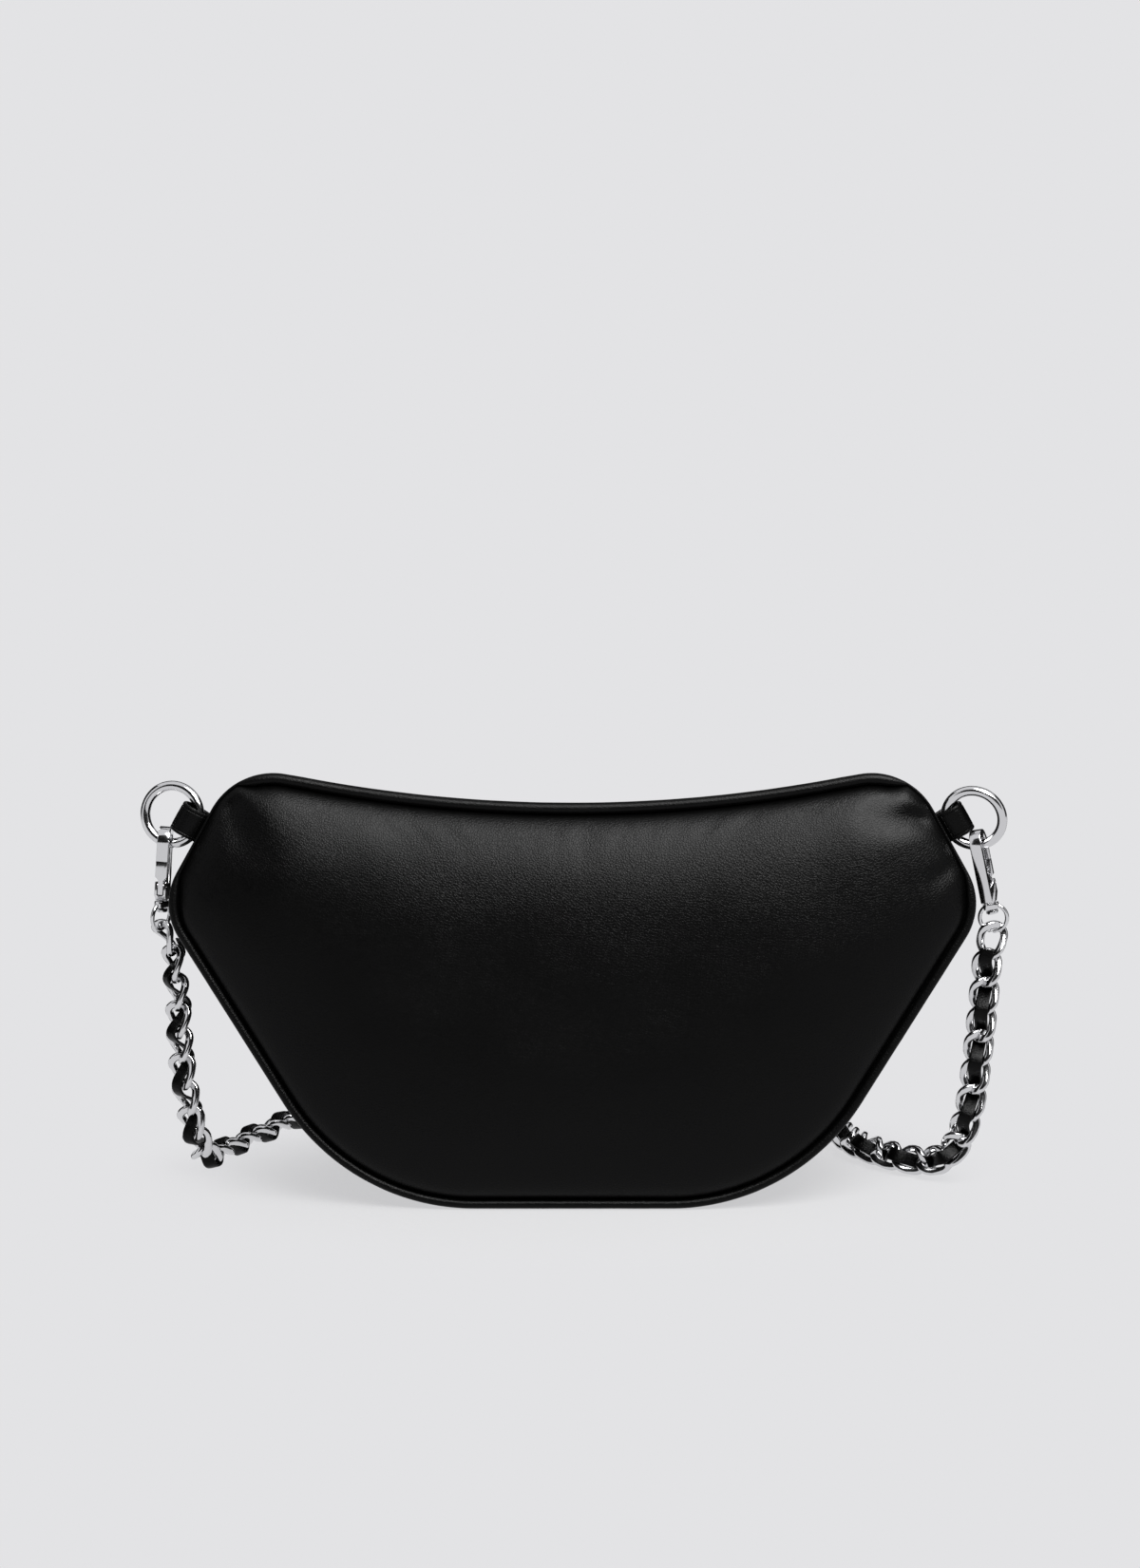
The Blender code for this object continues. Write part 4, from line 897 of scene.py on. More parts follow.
@dataclass(frozen=True)
class Fold:
    """A soft ridge or valley in a panel, in X and Z.

    Attributes:
        start: Where it is deepest.
        stop: Where it fades out.
        width: Its half width.
        rise: How far it stands out, or in where negative.
    """

    start: tuple
    stop: tuple
    width: float
    rise: float

    def at(self, places: np.ndarray) -> np.ndarray:
        """How far the fold lifts each of many places."""
        begin = np.array(self.start)
        run = np.array(self.stop) - begin
        share = np.clip(((places - begin) @ run) / (run @ run), -0.25, 1)
        gap = np.linalg.norm(places - (begin + share[:, None] * run), axis=1)
        wide = self.width * (1 + 0.8 * np.clip(share, 0, 1))
        fade = np.clip(1 - share, 0, 1) ** 0.8
        return self.rise * fade * np.exp(-((gap / wide) ** 2))


@dataclass
class PuffedPanel:
    """One panel of the bag: leather that its filling pushes out between its seams."""

    bag: BagShape
    side: Side
    folds: tuple = ()
    rings: int = 44
    seam_tuck: float = 0.0011
    tuck_reach: float = 0.0016
    pucker: float = 0.00022
    pucker_pitch: float = 0.0085
    pucker_reach: float = 0.009
    fold_start: float = 0.004
    sag: float = 0.0005
    filled: float = 1.0

    def distance(self, places: np.ndarray, edge: np.ndarray) -> np.ndarray:
        """A distance from the whole edge at once, which has no creases in the middle."""
        after = np.roll(edge, -1, axis=0)
        samples = np.concatenate([edge + (after - edge) * share for share in (1 / 6, 3 / 6, 5 / 6)])
        lengths = np.tile(np.linalg.norm(after - edge, axis=1) / 3, 3)
        found = np.empty(len(places))
        for first in range(0, len(places), 2000):
            part = places[first : first + 2000]
            away = np.linalg.norm(part[:, None, :] - samples[None, :, :], axis=2)
            found[first : first + 2000] = (lengths / away**3).sum(axis=1) ** -0.5
        return found

    def crown(self, edge: np.ndarray) -> tuple:
        """The place on the middle line that lies furthest from the edge, and its distance."""
        heights = np.linspace(0.02, 0.115, 96)
        places = np.stack([np.zeros_like(heights), heights], axis=1)
        found = self.distance(places, edge)
        return places[found.argmax()], float(found.max())

    def surface(self) -> tuple:
        """The panel's places, ring by ring from its edge to its crown.

        Returns:
            An array of rings of places in X and Z, and an array of how far out each lies.
        """
        points, stations = self.bag.panel_edge(self.side)
        edge = np.array([tuple(place) for place in points])
        middle, full = self.crown(edge)
        shares = np.linspace(0, 1, self.rings + 1)[:-1] ** 1.35
        rows = edge[None] + (middle - edge)[None] * shares[:, None, None]
        flat = rows[1:].reshape(-1, 2)
        share = np.clip(self.distance(flat, edge) / full, 0, 1)
        bulge = self.bag.back_bulge if self.side is Side.BACK else self.bag.front_bulge
        out = self.filled * bulge * (share * (2 - share)) ** self.bag.dome_round
        gap = np.linalg.norm(rows[1:] - rows[:1], axis=2).reshape(-1)
        out -= self.seam_tuck * np.exp(-gap / self.tuck_reach)
        along = np.cumsum(np.linalg.norm(np.diff(edge, axis=0, append=edge[:1]), axis=1))
        lift = np.array([self.gather(length, station) for length, station in zip(along, stations)])
        near = (gap / 0.002) ** 2 * np.exp(-gap / (self.pucker_reach / 3)) * 0.5
        out += np.tile(lift, len(rows) - 1) * np.clip(near, 0, 1)
        for fold in self.folds:
            out += fold.at(flat) * np.clip(gap / self.fold_start, 0, 1)
        out += np.array([self.softness(x, z) for x, z in flat]) * np.clip(gap / 0.02, 0, 1)
        first = np.full(len(edge), -self.seam_tuck)
        return rows, np.concatenate([first, out]).reshape(len(rows), len(edge)), middle

    def gather(self, length: float, station: float) -> float:
        """The small puckers that a seam draws in the leather beside it."""
        wave = noise.noise(Vector((length / self.pucker_pitch, 3.1 * self.side.value, 0)))
        from_end = min(station % 42, abs(34 - station))
        return self.pucker * wave * (1.6 if from_end < 7 else 1.0)

    def softness(self, across: float, height: float) -> float:
        """The slow unevenness of filled leather."""
        place = Vector((across * 22, height * 22, 7 + self.side.value))
        return self.sag * noise.noise(place) + 0.35 * self.sag * noise.noise(place * 2.7)

    def mesh(self) -> bmesh.types.BMesh:
        """The panel as a sheet with a wall."""
        rows, out, middle = self.surface()
        bm = bmesh.new()
        rings = [
            [self.bag.on_panel(Vector(place), -lift, self.side) for place, lift in zip(row, lifts)]
            for row, lifts in zip(rows.tolist(), out.tolist())
        ]
        loft(bm, rings, capped=False)
        bm.verts.ensure_lookup_table()
        last = bm.verts[-len(rings[0]) :]
        bm.faces.new(last)
        inner = bm.faces[:][-1]
        bmesh.ops.poke(bm, faces=[inner])
        bmesh.ops.recalc_face_normals(bm, faces=bm.faces)
        if sum(face.normal.y * face.calc_area() for face in bm.faces) * self.side.value < 0:
            bmesh.ops.reverse_faces(bm, faces=bm.faces)
        thicken(bm, self.bag.panel_wall * 0.6)
        return bm


@dataclass
class Seams:
    """The piping round the sides and the base and the thicker roll along the dip of one panel."""

    bag: BagShape
    side: Side
    sides: int = 20
    flange_start: float = 0.0026
    flange_wall: float = 0.0003
    flange_depth: float = 0.0026

    def tube(self, first: float, last: float, radius_at: Callable[[float], float]) -> bmesh.types.BMesh:
        """A leather tube that thins out towards its ends, with the flange that is sewn behind the panel.

        Args:
            first: The station where it starts.
            last: The station where it ends, past 42 where it runs through the dip.
            radius_at: Its radius at a station.

        Returns:
            The mesh.
        """
        whole = self.bag.belt(self.side) + self.bag.dip(self.side)
        radii = [radius_at(station) for _, station in whole]
        outline = [place for place, _ in whole]
        middles = self.bag.inset(outline, radii)
        deep = self.bag.inset(outline, [2 * radius + self.flange_depth for radius in radii])
        path, scales, flange = [], [], []
        back = self.flange_start + self.flange_wall
        for lap in (0, 42):
            for middle, low, radius, (_, station) in zip(middles, deep, radii, whole):
                if first <= station + lap <= last:
                    uneven = 1 + 0.02 * noise.noise(Vector((middle.x * 110, middle.y * 110, self.side.value)))
                    path.append(self.bag.on_panel(middle, self.bag.panel_wall / 2, self.side))
                    scales.append(radius * uneven)
                    corners = ((middle, self.flange_start), (low, self.flange_start), (low, back), (middle, back))
                    flange.append([self.bag.on_panel(place, inwards, self.side) for place, inwards in corners])
        bm = bmesh.new()
        tops = [Vector((0, self.side.value, 0))] * len(path)
        loft(bm, sweep_rings(path, oval(1, 1, self.sides), tops, scales=scales))
        sewn = bmesh.new()
        loft(sewn, flange)
        return merged([bm, sewn])

    def piping(self) -> bmesh.types.BMesh:
        """The piping from one shoulder round the base to the other."""
        return self.tube(3.0, 31.0, self.bag.piping_at)

    def roll(self) -> bmesh.types.BMesh:
        """The roll along the dip and over both shoulders."""
        return self.tube(30.7, 45.3, self.bag.roll_at)


@dataclass
class SideBand:
    """The gusset: one leather band over the shoulders, down the sides and under the base."""

    bag: BagShape
    sag: float = 0.0004
    edge_round: float = 0.0005
    across: int = 12

    def line(self, side: Side, wall: float) -> list:
        """The belt moved inwards, with ends that stay square to the dip."""
        points = [place for place, _ in self.bag.belt(side)]
        bag = self.bag
        amounts = [bag.gusset_inset * min(1, place.y / bag.piping_radius) + wall for place in points]
        inner = bag.inset(points, amounts, closed=False)
        centre = Vector((0, bag.spin_height))
        for index in (0, -1):
            inner[index] = points[index] + (points[index] - centre).normalized() * amounts[index]
        return [bag.on_panel(place, bag.seam_depth, side) for place in inner]

    def mesh(self) -> bmesh.types.BMesh:
        """The band with a slight sag between its edges."""
        outer = list(zip(self.line(Side.BACK, 0), self.line(Side.FRONT, 0)))
        inner = list(zip(self.line(Side.BACK, self.bag.gusset_wall), self.line(Side.FRONT, self.bag.gusset_wall)))
        rings = []
        for (back, front), (back_in, front_in) in zip(outer, inner):
            ring = []
            for step in range(self.across + 1):
                share = step / self.across
                dent = self.sag * math.sin(math.pi * share)
                rim = self.edge_round if step in (0, self.across) else 0.0
                place = back.lerp(front, share)
                within = back_in.lerp(front_in, share)
                ring.append(place + (within - place).normalized() * (dent + rim))
            for step in range(self.across, -1, -1):
                ring.append(back_in.lerp(front_in, step / self.across))
            rings.append(ring)
        bm = bmesh.new()
        loft(bm, rings)
        return bm


@dataclass
class Lining:
    """The thin cloth bag inside, open under the zip."""

    bag: BagShape
    zip_span: float
    clearance: float = 0.0017
    end_drop: float = 0.007
    ease: float = 0.004
    wall: float = 0.0006
    rings: int = 14

    def mesh(self) -> bmesh.types.BMesh:
        """Two soft sides and the band between them."""
        bm = bmesh.new()
        ends = []
        for side in (Side.BACK, Side.FRONT):
            ends.append(self.face(bm, side))
        edges = []
        for ring in ends:
            edges += [
                next(edge for edge in ring[index].link_edges if edge.other_vert(ring[index]) is ring[index + 1])
                for index in range(len(self.bag.belt(Side.BACK)) - 1)
            ]
        bmesh.ops.bridge_loops(bm, edges=edges)
        bmesh.ops.recalc_face_normals(bm, faces=bm.faces)
        middle = Vector((0, 0, self.bag.side_height / 2))
        if sum((face.calc_center_median() - middle).dot(face.normal) for face in bm.faces) < 0:
            bmesh.ops.reverse_faces(bm, faces=bm.faces)
        thicken(bm, self.wall)
        return bm

    def face(self, bm: bmesh.types.BMesh, side: Side) -> list:
        """One side of the lining.

        Args:
            bm: The mesh that takes it.
            side: Which side.

        Returns:
            The vertices of its edge.
        """
        bag = self.bag
        belt = bag.belt(side)
        whole = belt + bag.dip(side)
        top = bag.seam_depth + self.zip_span / 2
        amounts = []
        for _, station in whole:
            from_end = min(station, 34 - station) if station <= 34 else max(34 - station, station - 42)
            corner = top + self.end_drop * max(0.0, 1 + min(0.0, from_end) / 2)
            share = min(1.0, max(0.0, from_end) / 2.5) ** 1.5
            amounts.append(corner + (bag.gusset_inset + bag.gusset_wall + self.clearance - corner) * share)
        edge = np.array([tuple(place) for place in bag.inset([place for place, _ in whole], amounts)])
        panel = PuffedPanel(bag, side)
        outline = np.array([tuple(place) for place in bag.panel_edge(side)[0]])
        middle, full = panel.crown(outline)
        bulge = bag.back_bulge if side is Side.BACK else bag.front_bulge
        rings = []
        for step in range(self.rings):
            share = (step / self.rings) ** 1.2
            row = edge + (middle - edge) * share
            near = np.clip(panel.distance(row, outline) / full, 0, 1)
            out = np.clip(bulge * (near * (2 - near)) ** bag.dome_round - self.ease, 0, None)
            out *= min(1.0, share * 12)
            inwards = bag.panel_wall + self.clearance
            rings.append(
                [
                    bag.on_panel(Vector((x, z)), inwards - lift + 0.0006 * share * noise.noise(Vector((x * 60, z * 60, 2))), side)
                    for (x, z), lift in zip(row.tolist(), out.tolist())
                ]
            )
        before = len(bm.verts)
        loft(bm, rings, capped=False)
        bm.verts.ensure_lookup_table()
        fresh = bm.verts[before:]
        count = len(rings[0])
        bm.faces.new(fresh[-count:])
        bm.faces.ensure_lookup_table()
        bmesh.ops.poke(bm, faces=[bm.faces[-1]])
        return fresh[:count]


# ---- zip


@dataclass
class ZipClosure:
    """The zip in the top: strips, tapes and teeth that part, a slider with its pull, and the stops."""

    bag: BagShape
    zip: ZipShape
    shop: Workshop
    steps: int = 44
    stitch_pitch: float = 0.0031
    stitch_length: float = 0.0021
    stitch_radius: float = 0.00021
    stitch_inset: float = 0.0016

    def angles(self, half: int) -> list:
        """The angles of one half of the zip, from its end to the middle."""
        return [half * self.zip.angle * (1 - step / self.steps) for step in range(self.steps + 1)]

    def strip(self, side: Side, half: int) -> bmesh.types.BMesh:
        """Half of one leather strip, with a rounded inner edge and a row of stitches."""
        zip_, value = self.zip, side.value
        inner = value * zip_.strip_opening / 2
        wall = zip_.strip_wall
        rings = []
        for angle in self.angles(half):
            outer_top = zip_.strip_edge(0, angle, side)
            outer_low = zip_.strip_edge(-wall, angle, side)
            fold = [
                zip_.point(inner + value * wall / 2 * (1 - math.cos(turn)), wall / 2 * (math.sin(turn) - 1), angle)
                for turn in (math.pi / 2 - math.pi * step / 8 for step in range(9))
            ]
            crown = [outer_top.lerp(fold[0], share) + zip_.rise * (0.00012 * math.sin(math.pi * share)) for share in (0, 0.25, 0.5, 0.75)]
            rings.append(crown + fold + [outer_low])
        bm = bmesh.new()
        loft(bm, rings)
        parts = [bm]
        length = zip_.angle * self.bag.dip_radius
        count = int(length / self.stitch_pitch)
        for index in range(count):
            angle = half * (index + 0.5) * self.stitch_pitch / self.bag.dip_radius
            across = inner + value * (wall / 2 + self.stitch_inset)
            stitch = bar(self.stitch_radius, -self.stitch_length / 2, self.stitch_length / 2, 6, self.stitch_radius * 0.6)
            matrix = zip_.frame(angle) @ Matrix.Translation((0, across, self.stitch_radius * 0.4))
            parts.append(moved(stitch, matrix @ Matrix.Rotation(math.pi / 2, 4, "Y")))
        return merged(parts)

    def tape(self, side: Side, half: int) -> bmesh.types.BMesh:
        """Half of one woven tape."""
        zip_, value = self.zip, side.value
        inner = value * (zip_.rail_opening / 2 + zip_.rail_width * 0.4)
        outer = value * (zip_.span - self.bag.seam_depth)
        section = [(inner, 0.5), (outer, 0.5), (outer, -0.5), (inner, -0.5)]
        rings = [
            [zip_.point(across, zip_.tape_middle + zip_.tape_wall * high, angle) for across, high in section]
            for angle in self.angles(half)
        ]
        bm = bmesh.new()
        loft(bm, rings)
        return bm

    def tooth(self, side: Side) -> bmesh.types.BMesh:
        """One cast tooth: a foot that grips the tape and a head that meets the other row."""
        zip_, value = self.zip, side.value
        near = value * zip_.rail_opening / 2
        far = value * (zip_.rail_opening / 2 + zip_.rail_width)
        tip = near - value * (zip_.tooth_reach - 0.0007)
        half_height = zip_.tooth_height / 2
        middle = zip_.tape_middle
        foot = block(
            (-0.0005, min(near, far), middle - half_height), (0.0005, max(near, far), middle + half_height), 0.0002, 1
        )
        head = block(
            (-0.00042, min(tip, near), middle - half_height * 0.7),
            (0.00042, max(tip, near), middle + half_height * 0.7),
            0.00018,
            1,
        )
        return merged([foot, head])

    def teeth(self, side: Side, half: int) -> bmesh.types.BMesh:
        """Half of one row of teeth."""
        zip_ = self.zip
        start = -zip_.stop_angle + (zip_.stop_length / 2 + self.bag.gap) / self.bag.dip_radius
        stop = zip_.slider_angle + (zip_.slider_length / 2 - 2 * zip_.slider_post - self.bag.gap) / self.bag.dip_radius
        step = zip_.tooth_pitch / self.bag.dip_radius
        first = start + step * (0.75 if side is Side.BACK else 0.25)
        parts = []
        mould = self.tooth(side)
        mesh = bpy.data.meshes.new("tooth")
        mould.to_mesh(mesh)
        mould.free()
        count = int((stop - start) / step)
        for index in range(count):
            angle = first + index * step
            if (angle < 0) != (half < 0):
                continue
            part = bmesh.new()
            part.from_mesh(mesh)
            parts.append(moved(part, zip_.frame(angle)))
        bpy.data.meshes.remove(mesh)
        return merged(parts)

    def slider(self) -> bmesh.types.BMesh:
        """The slider: two plates with turned-in rims, a wedge between them and a bail on top."""
        zip_ = self.zip
        room = zip_.tooth_height / 2 + self.bag.gap
        middle = zip_.tape_middle
        half = zip_.slider_length / 2
        slot = zip_.tape_wall / 2 + self.bag.gap
        parts = []
        for way in (-1, 1):
            face = middle + way * room
            outer = face + way * zip_.slider_plate
            low, high = min(face, outer), max(face, outer)
            outline = self.slider_outline(low)
            plate = prism(outline, UP, high - low)
            rim = [
                edge
                for edge in plate.edges
                if all(abs(vert.co.z - outer) < 1e-6 for vert in edge.verts)
            ]
            bevel(plate, rim, 0.0004, 3)
            parts.append(plate)
            for hand in (-1, 1):
                wide = hand * zip_.slider_tail / 2
                wall_in = hand * (zip_.rail_opening / 2 + zip_.rail_width + 2 * self.bag.gap)
                inner = middle + way * slot
                parts.append(
                    block(
                        (-half * 0.86, min(wide, wall_in), min(inner, face)),
                        (half * 0.86, max(wide, wall_in), max(inner, face)),
                        0.00015,
                        1,
                    )
                )
        post = half - 2 * zip_.slider_post
        wedge = [
            Vector((half - 0.0002, zip_.slider_post / 2, middle - room)),
            Vector((post, 0, middle - room)),
            Vector((half - 0.0002, -zip_.slider_post / 2, middle - room)),
        ]
        parts.append(prism(wedge, UP, 2 * room))
        parts.append(self.bail(middle + room + zip_.slider_plate))
        return merged(parts, zip_.frame(zip_.slider_angle))

    def slider_outline(self, height: float) -> list:
        """A slider plate's outline: a wide nose towards +X and a narrower tail, with soft corners."""
        zip_ = self.zip
        half, nose, tail = zip_.slider_length / 2, zip_.slider_nose / 2, zip_.slider_tail / 2
        points = []
        for step in range(48):
            turn = 2 * math.pi * step / 48
            cosine, sine = math.cos(turn), math.sin(turn)
            along = half * math.copysign(abs(cosine) ** 0.5, cosine)
            wide = tail + (nose - tail) * (along / half + 1) / 2
            points.append(Vector((along, wide * math.copysign(abs(sine) ** 0.5, sine), height)))
        return points

    def bail(self, top: float) -> bmesh.types.BMesh:
        """The arch on the slider that holds the pull."""
        zip_ = self.zip
        reach, rise = zip_.bail_reach, zip_.bail_rise
        corners = [
            Vector((-reach, 0, top - 0.0003)),
            Vector((-reach, 0, top + rise * 0.55)),
            Vector((-reach * 0.8, 0, top + rise * 0.9)),
            Vector((-reach * 0.4, 0, top + rise)),
            Vector((reach * 0.4, 0, top + rise)),
            Vector((reach * 0.8, 0, top + rise * 0.9)),
            Vector((reach, 0, top + rise * 0.55)),
            Vector((reach, 0, top - 0.0003)),
        ]
        path = smooth_line(corners, 4)
        bm = bmesh.new()
        section = oval(zip_.bail_radius * 1.3, zip_.bail_radius * 0.9, 12, 3)
        loft(bm, sweep_rings(path, section, [Vector((0, 1, 0))] * len(path)))
        return bm

    def pull(self) -> bmesh.types.BMesh:
        """A flat tag with a slot for the bail and a raised rim."""
        zip_ = self.zip
        slot_end = zip_.bail_reach + zip_.bail_radius + 2 * self.bag.gap
        half, wall = zip_.pull_width / 2, zip_.pull_wall
        head, foot = wall / 2, -zip_.pull_length
        low = Vector((0, 0, -wall / 2))
        outline = []
        for step in range(64):
            turn = 2 * math.pi * (step + 0.5) / 64
            cosine, sine = math.cos(turn), math.sin(turn)
            along = (head + foot) / 2 + (head - foot) / 2 * math.copysign(abs(cosine) ** 0.35, cosine)
            taper = 0.74 + 0.26 * (head - along) / (head - foot)
            outline.append(Vector((along, half * taper * math.copysign(abs(sine) ** 0.45, sine), 0)) + low)
        tag = prism(outline, UP, wall, 0.00022, 2)
        slot = block((-slot_end, -zip_.pull_slot / 2, -wall), (-wall / 2, zip_.pull_slot / 2, wall), 0.0)
        bevel(slot, [e for e in slot.edges if abs((e.verts[0].co - e.verts[1].co).z) > wall], 0.0008, 3)
        panel_low = (-zip_.pull_length + 0.0022, -half * 0.5, wall / 2 - 0.00025)
        panel = block(panel_low, (-slot_end - 0.0016, half * 0.5, wall), 0.0002, 1)
        room = zip_.tooth_height / 2 + self.bag.gap
        rise = zip_.tape_middle + room + zip_.slider_plate + self.bag.gap + wall / 2
        return moved(cut(tag, [slot, panel]), zip_.frame(zip_.slider_angle) @ Matrix.Translation((0, 0, rise)))

    def stop(self, first: float, last: float, angle: float) -> bmesh.types.BMesh:
        """A stop clamped over the end of the teeth."""
        half, height = self.zip.stop_length / 2, self.zip.tooth_height / 2
        middle = self.zip.tape_middle
        part = block((-half, first, middle - height), (half, last, middle + height), 0.00035, 3)
        return moved(part, self.zip.frame(angle))

    def build(self) -> None:
        """Makes the whole zip."""
        zip_ = self.zip
        for side, word in ((Side.BACK, "back"), (Side.FRONT, "front")):
            for half, hand in ((-1, "left"), (1, "right")):
                makers = (
                    (self.strip, Slot.LEATHER, f"zip_strip_{word}"),
                    (self.tape, Slot.CLOTH, f"zip_tape_{word}"),
                    (self.teeth, Slot.STEEL, f"zip_teeth_{word}"),
                )
                for maker, slot, node in makers:
                    thing = self.shop.place(f"{node}_{hand}", maker(side, half), slot, (node,), body=None)
                    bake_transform(thing)
        self.shop.place("slider", self.slider(), Slot.STEEL, ("zip_slider",), "slider")
        self.shop.place("pull", self.pull(), Slot.STEEL, ("zip_pull",), "pull")
        rail = zip_.rail_opening / 2 + zip_.rail_width
        near = zip_.rail_opening / 2
        self.shop.place("bottom_stop", self.stop(-rail, rail, -zip_.stop_angle), Slot.STEEL, ("zip_bottom_stop",))
        back, front = self.stop(-rail, -near, zip_.stop_angle), self.stop(near, rail, zip_.stop_angle)
        self.shop.place("top_stop_back", back, Slot.STEEL, ("zip_top_stop_back",))
        self.shop.place("top_stop_front", front, Slot.STEEL, ("zip_top_stop_front",))


# ---- strap ends


@dataclass(frozen=True)
class HookShape:
    """The sizes of a tab, an O-ring and a swivel snap hook, as the CAD part has them."""

    ring_radius: float = 0.0098
    ring_wire: float = 0.0017
    ring_reach: float = 0.01129
    ring_rise: float = 0.03585
    ring_tilt: float = math.radians(18)
    tab_width: float = 0.0105
    tab_wall: float = 0.0012
    tab_reach: float = 0.0101
    tab_rise: float = 0.0016
    tab_room: float = 0.0011
    tab_depth: float = -0.0043
    tab_pinch: float = 0.0014
    width: float = 0.004
    thickness: float = 0.0017
    room: float = 0.0011
    crown: float = 0.0026
    length: float = 0.0257
    nose: float = 0.0114
    gate_wall: float = 0.0015
    gate_length: float = 0.0113
    gate_full: float = 0.0063
    tongue: float = 0.0018
    pin_drop: float = 0.0198
    pin_radius: float = 0.0005
    pin_room: float = 0.0001
    cheek_top: float = 0.0186
    base_block: float = 0.0023
    spring_radius: float = 0.0003
    stud_radius: float = 0.0008
    stud_room: float = 0.0001
    stud_head: float = 0.0021
    stud_head_height: float = 0.0013
    stud_grip: float = 0.0012
    eye_radius: float = 0.00465
    eye_wire: float = 0.0007
    boss_width: float = 0.0054
    boss_depth: float = 0.0034
    boss_height: float = 0.0022

    @property
    def inner(self) -> float:
        """Half of the throat."""
        return self.ring_wire + self.room

    @property
    def outer(self) -> float:
        """Half of the hook from spine to gate."""
        return self.inner + self.thickness

    @property
    def top(self) -> float:
        """The hook's top above the O-ring's wire."""
        return self.inner + self.crown

    @property
    def foot(self) -> float:
        """The hook's underside."""
        return self.top - self.length

    @property
    def pin_height(self) -> float:
        """The gate pin's height."""
        return self.top - self.pin_drop

    @property
    def pin_depth(self) -> float:
        """The gate pin's place towards the gate side."""
        return self.outer - self.gate_wall / 2


